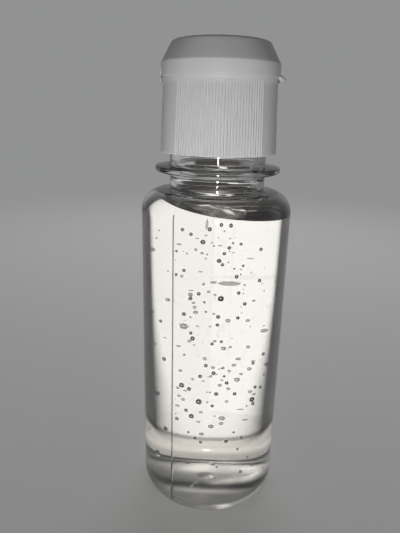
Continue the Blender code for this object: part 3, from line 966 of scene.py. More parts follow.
@dataclass(frozen=True)
class PhotoView:
    """Camera of the photograph, fitted to the outlines of the object."""

    width: int = 400
    height: int = 533
    focal_px: float = 473.3
    distance: float = 120.6 * MM
    eye_z: float = 105.9 * MM
    yaw: float = radians(-1.781)
    pitch: float = radians(18.34)
    roll: float = radians(1.42)
    sensor: float = 36.0
    clip_near: float = 5.0 * MM
    clip_far: float = 20.0

    @property
    def eye(self) -> Vector:
        """Place of the camera."""
        return Vector((0.0, -self.distance, self.eye_z))

    def axes(self) -> tuple[Vector, Vector, Vector]:
        """Return the directions to the right, up and forward of the camera.

        Returns:
            Three unit vectors in the model's frame.
        """
        level = Vector((sin(self.yaw), cos(self.yaw), 0.0))
        side = Vector((cos(self.yaw), -sin(self.yaw), 0.0))
        zenith = Vector((0.0, 0.0, 1.0))
        forward = level * cos(self.pitch) - zenith * sin(self.pitch)
        upward = zenith * cos(self.pitch) + level * sin(self.pitch)
        right = side * cos(self.roll) + upward * sin(self.roll)
        up = upward * cos(self.roll) - side * sin(self.roll)
        return right, up, forward

    def ray(self, column: float, row: float) -> Vector:
        """Return the direction in which the camera sees a pixel.

        Args:
            column: Pixel column in the photograph.
            row: Pixel row in the photograph.

        Returns:
            Unit vector away from the camera.
        """
        right, up, forward = self.axes()
        across = (column - self.width / 2) / self.focal_px
        above = (self.height / 2 - row) / self.focal_px
        return (forward + right * across + up * above).normalized()

    def chord_in_gel(self, column: float, row: float, gel_r: float) -> tuple[Vector, Vector]:
        """Follow the line of sight of a pixel through the gel.

        Args:
            column: Pixel column in the photograph.
            row: Pixel row in the photograph.
            gel_r: Radius of the gel.

        Returns:
            Where the line enters the gel, and the step from there to the far wall, with the
            bending of light at the near wall taken into account.
        """
        way = self.ray(column, row)
        flat, start = Vector((way.x, way.y)), Vector((self.eye.x, self.eye.y))
        along = flat.dot(start)
        root = along * along - flat.length_squared * (start.length_squared - gel_r**2)
        entry = self.eye + way * ((-along - sqrt(max(root, 0.0))) / flat.length_squared)
        normal = Vector((entry.x, entry.y, 0.0)).normalized()
        cosine = -way.dot(normal)
        ratio = 1.0 / GEL_IOR
        bent = way * ratio + normal * (ratio * cosine - sqrt(1 - ratio**2 * (1 - cosine**2)))
        flat = Vector((bent.x, bent.y))
        chord = -2 * flat.dot(Vector((entry.x, entry.y))) / flat.length_squared
        return entry, bent * chord

    def size_in_gel(self, width: float, entry: Vector, depth: float, gel_r: float) -> float:
        """Return the real width of a form that the round gel magnifies.

        Args:
            width: Width in the photograph, in pixels.
            entry: Where its line of sight enters the gel.
            depth: How deep it lies behind the near wall.
            gel_r: Radius of the gel.

        Returns:
            Width in metres.
        """
        magnified = 1.0 / (1.0 - (1.0 - 1.0 / GEL_IOR) * min(depth / gel_r, 2.0))
        distance = (entry - self.eye).length + depth * magnified / GEL_IOR
        return width * distance / (self.focal_px * magnified)

    def make_camera(self) -> None:
        """Create the scene's camera."""
        data = bpy.data.cameras.new("photo_camera")
        data.sensor_width = self.sensor
        data.lens = self.sensor * self.focal_px / self.height
        data.clip_start, data.clip_end = self.clip_near, self.clip_far
        camera = Forms.linked("photo_camera", data)
        right, up, forward = self.axes()
        turn = Matrix((right, up, -forward)).transposed()
        camera.matrix_world = Matrix.Translation(self.eye) @ turn.to_4x4()
        bpy.context.scene.camera = camera


class Look(Enum):
    """How a bubble shows in the photograph, with its range of depth from wall to wall."""

    SHARP = (0.06, 0.24)
    SOFT = (0.50, 0.90)
    SMEAR = (0.90, 0.93)

    def at(self, column: float, row: float, width: float, tall: float = 1.0) -> "SeenBubble":
        """Name a bubble of this look, by its place and its width in pixels."""
        return SeenBubble(column, row, width, self, tall)


class SeenBubble(NamedTuple):
    """Bubble that stands out in the photograph: its place and its width, in pixels."""

    column: float
    row: float
    width: float
    look: Look
    tall: float


class Bubble(NamedTuple):
    """Air bubble: its centre, its half-sizes and how it shows."""

    place: Vector
    half: Vector
    look: Look


FOLD_END_SHARES = (-0.15, 0.2)


class Fold(NamedTuple):
    """Soft ridge that runs across the gel's open surface, with its sizes in millimetres."""

    start: Point2
    end: Point2
    height: float
    half_width: float

    def rise(self, x: float, y: float) -> float:
        """Return how far the fold stands up over a place.

        Args:
            x: Place across the bottle, in metres.
            y: Place from front to back, in metres.

        Returns:
            Rise in metres.
        """
        start_x, start_y, end_x, end_y = (value * MM for value in (*self.start, *self.end))
        run_x, run_y = end_x - start_x, end_y - start_y
        length = hypot(run_x, run_y)
        along = ((x - start_x) * run_x + (y - start_y) * run_y) / length**2
        across = ((x - start_x) * run_y - (y - start_y) * run_x) / length
        low, high = FOLD_END_SHARES
        ends = smooth_step(along, low, high) * (1.0 - smooth_step(along, 1.0 - high, 1.0 - low))
        return self.height * MM * ends * exp(-((across / (self.half_width * MM)) ** 2))


FOLDS = (
    Fold((-5.0, 8.0), (4.6, -9.4), 1.05, 1.5), Fold((-2.0, 6.5), (4.4, -5.0), 0.6, 0.9),
    Fold((-4.0, 8.2), (4.6, 5.6), 0.55, 1.2), Fold((-5.5, 2.9), (3.0, 0.9), 0.34, 0.75),
    Fold((1.8, 1.1), (7.6, -1.4), 0.36, 0.75), Fold((6.6, -1.3), (15.4, 7.0), 0.36, 0.8),
    Fold((-15.0, 2.0), (-8.0, -7.5), 0.3, 0.8),
)

sharp, soft, smear = Look.SHARP.at, Look.SOFT.at, Look.SMEAR.at

SEEN_BUBBLES = (
    soft(162.9, 217.1, 4.3), smear(229.5, 283.2, 22, 0.36), smear(213.5, 282, 7, 0.7),
    soft(152, 248.5, 5), sharp(182.9, 229.3, 4), sharp(191.3, 233.9, 4), sharp(203.1, 241.6, 5.4),
    sharp(209.7, 229, 5), soft(206.4, 227.6, 3.8, 1.25), soft(207.6, 222.6, 3, 1.6),
    sharp(221.3, 225.2, 3.8), sharp(230.7, 225.8, 4), sharp(224.4, 230.9, 2), sharp(218.5, 237.5, 1.5),
    sharp(229.8, 238.2, 1.8), sharp(234.7, 237.5, 1.1), sharp(232.7, 242.8, 2.8),
    sharp(240.6, 243.7, 3.9), sharp(212.1, 242.5, 2), sharp(228.9, 247.5, 4.3), sharp(260.2, 248.9, 4.3),
    soft(195.6, 249.4, 3.9), soft(201.6, 252.9, 4), sharp(187.3, 253.1, 2), sharp(207.3, 254, 2),
    sharp(177.2, 250.7, 3), sharp(224.1, 253.2, 4), soft(205.5, 258.3, 2.8), sharp(218.9, 260.5, 5),
    sharp(222.2, 264.3, 4), sharp(228.2, 262.1, 2), sharp(184.4, 270, 3.9), sharp(176.6, 274.1, 3.7),
    soft(181.5, 275.7, 4), sharp(242.6, 265.4, 3), sharp(233.9, 268.3, 2.4), sharp(236.1, 276.2, 4.8),
    sharp(258.5, 280, 4.3), sharp(203.5, 283.9, 2.6), sharp(198.8, 293.3, 4.5), soft(189.7, 294.1, 6),
    sharp(191, 297.6, 4), soft(208.3, 291.3, 4.5), soft(214.9, 294.4, 4), sharp(220.6, 298.1, 6.7),
    sharp(238.2, 292.5, 4.3), sharp(244.1, 303.3, 4.3), soft(165.8, 298.8, 5), sharp(204.4, 301.8, 3),
    soft(194.2, 306.8, 4.5), soft(194.8, 311.7, 5.5), sharp(205.9, 311.3, 2.6), sharp(184.4, 313.5, 4.5),
    sharp(190.7, 316.6, 2.4), soft(213.7, 313.5, 3.6), sharp(217.9, 316.3, 4.8), sharp(237.2, 317.3, 3.9),
    soft(227.8, 320.2, 6), soft(248.4, 319.9, 4.5), sharp(217.2, 324.4, 4.1), sharp(161.5, 320.5, 3.7),
    sharp(153.9, 311.5, 3.8), soft(182.6, 325.6, 9), soft(265.8, 329.5, 5.5), sharp(191, 332.5, 3.9),
    sharp(192.7, 337.9, 5.2), soft(188.6, 340.5, 4.4), soft(214.6, 340.6, 4.4), soft(223.3, 347.8, 6),
    soft(230.3, 346.5, 4), soft(247.9, 346.2, 4.8), sharp(156.5, 343.3, 2.8), sharp(262.1, 353.2, 3.9),
    soft(239, 358.2, 4.8), sharp(164.9, 358.3, 4.4), soft(204.3, 358.1, 5), sharp(205.9, 364.9, 4),
    sharp(213.3, 372.5, 4.8), sharp(200.3, 375.6, 4), soft(192, 378.4, 4), soft(212.6, 367, 4.5),
    soft(223, 367.1, 3.7), soft(228.9, 370.4, 4), soft(234.1, 364.5, 5), sharp(223.8, 375.6, 3),
    sharp(226.3, 382.2, 4), soft(236.8, 379, 6.5), soft(241.7, 373.3, 4), soft(249.1, 368.2, 5),
    sharp(252, 362.5, 3.7), sharp(264.8, 363.6, 4), soft(179, 369.7, 4), sharp(181.8, 384.5, 6),
    sharp(189.1, 388.2, 4.8), soft(219.5, 384.7, 4.6), soft(228.2, 388, 4.5), sharp(215.9, 393.2, 4.5),
    sharp(234.1, 393, 4.2), sharp(198.5, 401, 7), soft(178.6, 395, 3.9), soft(182.6, 398.6, 4.3),
    sharp(212.1, 405.1, 3.5), soft(226.5, 400.7, 4), soft(250.4, 390.6, 4.2), sharp(259.1, 386.3, 3.5),
    sharp(250.7, 398.6, 6), sharp(251.7, 402.8, 3.7), sharp(159.1, 392.6, 4.8), sharp(186.4, 409.4, 3.7),
    sharp(191.4, 415.3, 5.5), soft(197.6, 421, 4), soft(221.7, 417.5, 7), soft(220.9, 422.7, 5),
    soft(210.3, 425.7, 6.5), sharp(177.4, 417.8, 4), sharp(166.7, 427.7, 4.3), sharp(151.5, 427.7, 3),
    sharp(188.6, 431.3, 2.8), soft(200.7, 433.2, 5.5), sharp(194.6, 437.1, 4.2), sharp(200.5, 441.3, 3.5),
    sharp(225.4, 440.2, 4.4), sharp(240.1, 436.6, 3.6), sharp(236.8, 447.9, 3), sharp(159.3, 452, 6),
    sharp(187.8, 461.7, 3.5), soft(212.2, 463, 5.5), sharp(250.7, 463.6, 3.6), sharp(239.3, 470.4, 3.6),
    sharp(205.6, 499.7, 3), sharp(253.9, 386.1, 3.6), sharp(262.4, 373.8, 2.8), sharp(209.9, 391.6, 2),
    sharp(206.8, 391.4, 1.7), sharp(151.2, 278.6, 4), sharp(240.5, 274, 2), sharp(229.3, 251, 1.8),
    sharp(263, 290.3, 1.8), sharp(168.9, 270.6, 1.8), sharp(160.4, 230.1, 2), sharp(157.9, 237.8, 2.2),
    sharp(221.2, 341, 3.4), sharp(211.9, 343.3, 4), soft(209.5, 376.2, 4.5, 0.7),
    soft(202.8, 380.4, 4, 0.7), soft(184.6, 389.8, 4, 0.7), soft(200.5, 411.5, 4.2, 0.8),
    soft(206.8, 401.6, 3), soft(178, 345.4, 5, 0.6), soft(193.9, 344.4, 3.6, 0.6),
    soft(246.4, 418.7, 4.5, 0.6), smear(241, 408.5, 6, 0.35), soft(221.6, 379.5, 3.4, 0.7),
    soft(214.5, 415.3, 3.2, 0.7), soft(176.9, 386.9, 4), soft(177, 404.6, 5, 0.6),
    soft(254, 360.1, 4, 0.7), soft(253.7, 393.2, 4, 0.7), soft(178.5, 243.9, 5, 0.6),
    soft(205.8, 235.2, 3.4, 0.8), smear(196.6, 238.1, 4.5, 0.5), smear(220.1, 245.4, 5, 0.5),
    smear(200.2, 271.4, 5, 0.5), smear(251.7, 258.2, 6.5, 0.35), soft(241, 269.1, 3.5, 0.5),
    soft(233.9, 252.3, 3.4, 0.5), smear(190.5, 290, 5, 0.5), soft(197.1, 325.7, 4, 0.6),
    soft(209.9, 326, 3.6, 0.7),
)


@dataclass
class Gel:
    """Gel with its leaning, folded surface and its air bubbles."""

    bottle: Bottle
    view: PhotoView
    sunk: float = 0.06 * MM
    level_below_shoulder: float = 3.6 * MM
    lean: float = tan(radians(6.5))
    climb: float = 1.3 * MM
    climb_angle: float = radians(-150.0)
    climb_spread: float = radians(34.0)
    meniscus: float = 0.5 * MM
    meniscus_reach: float = 1.2 * MM
    swell_depth: float = 0.1 * MM
    swell_x: float = 1.7 * MM
    swell_y: float = 2.1 * MM
    swell_phase_x: float = 0.9
    swell_phase_y: float = 0.4
    wall_rows: int = 60
    surface_rows: int = 72
    open_slot: int = 1
    contact_rounds: int = 12
    steepest_share: float = 0.999
    random_bubbles: int = 90
    seed: int = 7
    smallest: float = 0.10 * MM
    largest: float = 0.40 * MM
    small_bias: float = 2.2
    flattest_share: float = 0.8
    height_spread: tuple[float, float] = (1.5, 1.35)
    soft_share: float = 0.5
    bubble_gap: float = 0.05 * MM
    large_from: float = 0.42 * MM
    small_subdivisions: int = 2
    large_subdivisions: int = 3
    seen: Sequence[SeenBubble] = SEEN_BUBBLES
    folds: Sequence[Fold] = FOLDS

    @property
    def wall_r(self) -> float:
        """Radius of the gel at the body's wall."""
        return self.bottle.body_r - self.bottle.wall

    def wall_profile(self, z: float) -> float:
        """Return the radius of the bottle's inner wall at a height near the shoulder.

        Args:
            z: Height.

        Returns:
            Radius in metres.
        """
        rounding = self.bottle.shoulder_rounding - self.bottle.wall
        bend_z = self.bottle.shoulder_z - self.bottle.wall - rounding
        if z <= bend_z:
            return self.wall_r
        rise = min((z - bend_z) / rounding, self.steepest_share)
        return self.wall_r - rounding * (1.0 - sqrt(1.0 - rise * rise))

    def surface(self, x: float, y: float) -> float:
        """Return the height of the gel's open surface over a place.

        Args:
            x: Place across the bottle.
            y: Place from front to back.

        Returns:
            Height in metres.
        """
        r, angle = hypot(x, y), atan2(y, x)
        share = r / self.wall_r
        away = turned_away(self.climb_angle, angle) / self.climb_spread
        z = self.bottle.shoulder_z - self.level_below_shoulder - self.lean * x
        z += self.climb * share**3 * exp(-away * away)
        z += self.meniscus * exp(-(self.wall_r - r) / self.meniscus_reach)
        for fold in self.folds:
            z += fold.rise(x, y)
        swell = sin(x / self.swell_x + self.swell_phase_x)
        swell *= sin(y / self.swell_y - self.swell_phase_y)
        return z + self.swell_depth * swell * (1.0 - share**4)

    def contact(self, angle: float) -> Point2:
        """Return the radius and height at which the surface meets the wall.

        Args:
            angle: Angle from +X.

        Returns:
            Radius and height.
        """
        z = self.surface(self.wall_r * cos(angle), self.wall_r * sin(angle))
        for _ in range(self.contact_rounds):
            r = self.wall_profile(z)
            z = self.surface(r * cos(angle), r * sin(angle))
        return self.wall_profile(z), z

    def build_body(self) -> BMesh:
        """Make the gel's skin: floor, wall and open surface.

        Returns:
            Closed mesh whose open surface has a material slot of its own.
        """
        bm = bmesh.new()
        outline = self.bottle.inner_base(-self.sunk)
        base = Section.divided(outline, self.bottle.row_height)[::-1]
        base = [station for station in base if station.z < self.bottle.shoulder_z / 4]
        angles = [tau * step / FACETS for step in range(FACETS)]
        columns = []
        for angle in angles:
            cosine, sine = cos(angle), sin(angle)
            column = [(station.r, station.z) for station in base[1:]]
            low_z = base[-1].z
            edge_r, edge_z = self.contact(angle)
            for row in range(1, self.wall_rows + 1):
                z = low_z + (edge_z - low_z) * sin(pi / 2 * row / self.wall_rows)
                column.append((self.wall_profile(z) + self.sunk, z))
            for row in range(1, self.surface_rows):
                r = edge_r * (1.0 - row / self.surface_rows)
                column.append((r, self.surface(r * cosine, r * sine)))
            columns.append([bm.verts.new(polar(r, angle, z)) for r, z in column])
        floor = bm.verts.new((0.0, 0.0, base[0].z))
        top = bm.verts.new((0.0, 0.0, self.surface(0.0, 0.0)))
        for index, column in enumerate(columns):
            following = columns[(index + 1) % len(columns)]
            bm.faces.new((floor, column[0], following[0]))
            bm.faces.new((column[-1], top, following[-1])).material_index = self.open_slot
            edge = len(column) - self.surface_rows
            for low, high in zip(range(len(column) - 1), range(1, len(column))):
                face = bm.faces.new((column[low], column[high], following[high], following[low]))
                face.material_index = self.open_slot if low >= edge else 0
        bmesh.ops.recalc_face_normals(bm, faces=bm.faces)
        return bm

    def clear_of_walls(self, place: Vector, reach: float) -> bool:
        """Tell whether a bubble lies inside the gel with room to spare.

        Args:
            place: The bubble's centre.
            reach: Its largest half-size.

        Returns:
            Whether neither a wall, the open surface nor the base is too near.
        """
        room = reach + self.bubble_gap
        if hypot(place.x, place.y) + room > self.wall_profile(place.z + reach):
            return False
        if place.z + room > self.surface(place.x, place.y):
            return False
        return place.z - reach > self.bottle.push_up + self.bottle.base_thickness + self.bubble_gap

    def bubbles(self) -> list[Bubble]:
        """Place the bubbles: first those that show plainly, then a seeded scatter of small ones.

        Returns:
            Bubbles, none of which touch.
        """
        placed: list[Bubble] = []

        def free(place: Vector, half: Vector) -> bool:
            """Tell whether a bubble would touch neither a wall nor an earlier bubble."""
            reach = max(half) + self.bubble_gap
            return self.clear_of_walls(place, max(half)) and all(
                (place - other.place).length > reach + max(other.half) for other in placed
            )

        dice = random.Random(self.seed)
        for bubble in self.seen:
            entry, across = self.view.chord_in_gel(bubble.column, bubble.row, self.wall_r)
            low, high = bubble.look.value
            share = dice.uniform(low, high)
            depth = across.length * share
            size = self.view.size_in_gel(bubble.width, entry, depth, self.wall_r) / 2
            half = Vector((size, size * bubble.tall, size * bubble.tall))
            place = entry + across * share
            if free(place, half):
                placed.append(Bubble(place, half, bubble.look))
            else:
                LOG.info("no room for the bubble at %.1f, %.1f", bubble.column, bubble.row)
        for _ in range(self.random_bubbles):
            r = self.wall_r * sqrt(dice.random())
            angle = dice.uniform(0.0, tau)
            z = self.bottle.shoulder_z * dice.betavariate(*self.height_spread)
            size = self.smallest + (self.largest - self.smallest) * dice.random() ** self.small_bias
            place = Vector(polar(r, angle, z))
            half = Vector((size, size, size * dice.uniform(self.flattest_share, 1.0)))
            if free(place, half):
                look = Look.SOFT if dice.random() < self.soft_share else Look.SHARP
                placed.append(Bubble(place, half, look))
        return placed

    def build(self) -> Object:
        """Make the gel, with its bubbles as hollows in the same mesh.

        Returns:
            The gel's object.
        """
        skins = (Finish.GEL, Finish.GEL_SURFACE)
        looks = {Look.SHARP: Finish.BUBBLE, Look.SOFT: Finish.SOFT_BUBBLE, Look.SMEAR: Finish.SMEAR}
        finishes = [finish.value.make() for finish in (*skins, *looks.values())]
        bm = self.build_body()
        bubbles = self.bubbles()
        sizes = (("small", False, self.small_subdivisions), ("large", True, self.large_subdivisions))
        for index, look in enumerate(looks, start=len(skins)):
            for name, large, subdivisions in sizes:
                group = [
                    bubble for bubble in bubbles
                    if bubble.look is look and (max(bubble.half) >= self.large_from) is large
                ]
                if not group:
                    continue
                mesh = BubbleCloud(f"{name}_bubbles", group, subdivisions).build(finishes[index])
                earlier = len(bm.faces)
                bm.from_mesh(mesh)
                bm.faces.ensure_lookup_table()
                for face in bm.faces[earlier:]:
                    face.material_index = index
                bpy.data.meshes.remove(mesh)
        LOG.info("gel holds %d bubbles", len(bubbles))
        return Forms.piece("gel_contents", bm, *finishes)


class NodeTreeMaker(NodeSheet):
    """Builds a Geometry Nodes tree with named inputs and runs it on a mesh."""

    def __init__(self, name: str) -> None:
        """Start a tree that takes and gives a geometry.

        Args:
            name: Name of the tree.
        """
        super().__init__(bpy.data.node_groups.new(name, "GeometryNodeTree"))
        for way in ("INPUT", "OUTPUT"):
            self.tree.interface.new_socket("Geometry", in_out=way, socket_type="NodeSocketGeometry")
        self.entry = self.add("NodeGroupInput")
        self.exit = self.add("NodeGroupOutput")
        self.identifiers: dict[str, str] = {}

    def take(self, name: str, kind: str = "Float") -> NodeSocket:
        """Add a named input.

        Args:
            name: Name of the input.
            kind: Type of its socket.

        Returns:
            Socket that gives its value.
        """
        item = self.tree.interface.new_socket(name, in_out="INPUT", socket_type=f"NodeSocket{kind}")
        self.identifiers[name] = item.identifier
        return self.entry.outputs[name]

    def give(self, geometry: NodeSocket, material: NodeSocket) -> None:
        """End the tree: make instances real and set their material.

        Args:
            geometry: Geometry to end with.
            material: Material that it gets.
        """
        real = self.out("GeometryNodeRealizeInstances", {"Geometry": geometry})
        coat = {"Geometry": real, "Material": material}
        self.fill(self.exit, {"Geometry": self.out("GeometryNodeSetMaterial", coat)})

    def run(self, mesh: Mesh, values: dict[str, object]) -> Mesh:
        """Run the tree on a mesh.

        Args:
            mesh: Input mesh, which is removed afterwards.
            values: Value of each named input.

        Returns:
            A plain mesh of the result.
        """
        item = Forms.linked(self.tree.name, mesh)
        modifier = item.modifiers.new("tree", "NODES")
        modifier.node_group = self.tree
        for name, value in values.items():
            modifier[self.identifiers[name]] = value
        result = Forms.evaluated(item)
        bpy.data.objects.remove(item, do_unlink=True)
        bpy.data.meshes.remove(mesh)
        return result


@dataclass
class BubbleCloud:
    """Air bubbles made by Geometry Nodes as small hollows whose faces point into them."""

    name: str
    bubbles: Sequence[Bubble]
    subdivisions: int

    def tree(self) -> NodeTreeMaker:
        """Build the tree that sets one hollow at each point.

        Returns:
            Tree with the inputs Subdivisions and Material.
        """
        maker = NodeTreeMaker(self.name)
        subdivisions = maker.take("Subdivisions", "Int")
        material = maker.take("Material", "Material")
        ball = {"Radius": 1.0, "Subdivisions": subdivisions}
        half_size = {"Name": "half_size"}
        spread = maker.out("GeometryNodeInstanceOnPoints", {
            "Points": maker.entry.outputs["Geometry"],
            "Instance": maker.out("GeometryNodeMeshIcoSphere", ball),
            "Scale": maker.out("GeometryNodeInputNamedAttribute", half_size, data_type="FLOAT_VECTOR"),
        })
        real = maker.out("GeometryNodeRealizeInstances", {"Geometry": spread})
        maker.give(maker.out("GeometryNodeFlipFaces", {"Mesh": real}), material)
        return maker

    def build(self, finish: Material) -> Mesh:
        """Make the mesh of all the bubbles.

        Args:
            finish: The bubbles' material.

        Returns:
            Mesh of every hollow.
        """
        mesh = bpy.data.meshes.new(self.name)
        mesh.from_pydata([bubble.place for bubble in self.bubbles], [], [])
        sizes = mesh.attributes.new("half_size", "FLOAT_VECTOR", "POINT")
        for index, bubble in enumerate(self.bubbles):
            sizes.data[index].vector = bubble.half
        return self.tree().run(mesh, {"Subdivisions": self.subdivisions, "Material": finish})


@dataclass
class GripRibs:
    """Panel of fine upright ribs on the cap's skirt, made by Geometry Nodes."""

    name: str
    middle_angle: float
    low_z: float
    high_z: float
    low_r: float
    high_r: float
    count: int = 32
    panel_angle: float = radians(90.0)
    width: float = 0.42 * MM
    reach: float = 0.29 * MM
    corners: int = 10
    sharp_angle: float = radians(50.0)

    def tree(self) -> NodeTreeMaker:
        """Build the tree that stands one rib at each step round the panel.

        Returns:
            Tree with the inputs that build sets.
        """
        maker = NodeTreeMaker("grip_ribs")
        count = maker.take("Rib Count", "Int")
        first, step, radius = map(maker.take, ("First Angle", "Step Angle", "Wall Radius"))
        middle, length, width = map(maker.take, ("Middle Height", "Rib Length", "Rib Width"))
        reach, draft = map(maker.take, ("Rib Reach", "Draft Angle"))
        material = maker.take("Material", "Material")
        index = maker.out("GeometryNodeInputIndex", {})
        angle = maker.math("ADD", maker.times(index, step), first)
        x = maker.times(maker.math("COSINE", angle), radius)
        y = maker.times(maker.math("SINE", angle), radius)
        rod = maker.out("GeometryNodeMeshCone", {
            "Vertices": self.corners, "Radius Top": 1.0, "Radius Bottom": 1.0, "Depth": 1.0,
        })
        spread = maker.out("GeometryNodeInstanceOnPoints", {
            "Points": maker.out("GeometryNodeSetPosition", {
                "Geometry": maker.out("GeometryNodeMeshLine", {"Count": count}),
                "Position": maker.vector(x, y, middle),
            }),
            "Instance": maker.out("GeometryNodeTransform", {
                "Geometry": rod, "Translation": (0.0, 0.0, -0.5),
            }),
            "Scale": maker.vector(reach, maker.times(width, 0.5), length),
            "Rotation": maker.vector(0.0, draft, angle),
        })
        maker.give(spread, material)
        return maker

    def build(self, finish: Material) -> Object:
        """Make the panel of ribs.

        Args:
            finish: The ribs' material.

        Returns:
            Object that holds all the ribs.
        """
        step = self.panel_angle / self.count
        mesh = self.tree().run(bpy.data.meshes.new(self.name), {
            "Rib Count": self.count,
            "First Angle": self.middle_angle - self.panel_angle / 2 + step / 2, "Step Angle": step,
            "Wall Radius": (self.low_r + self.high_r) / 2,
            "Middle Height": (self.low_z + self.high_z) / 2, "Rib Length": self.high_z - self.low_z,
            "Rib Width": self.width, "Rib Reach": self.reach,
            "Draft Angle": -atan2(self.low_r - self.high_r, self.high_z - self.low_z),
            "Material": finish,
        })
        mesh.name = self.name
        Forms.shaded(mesh, self.sharp_angle)
        return Forms.linked(self.name, mesh)


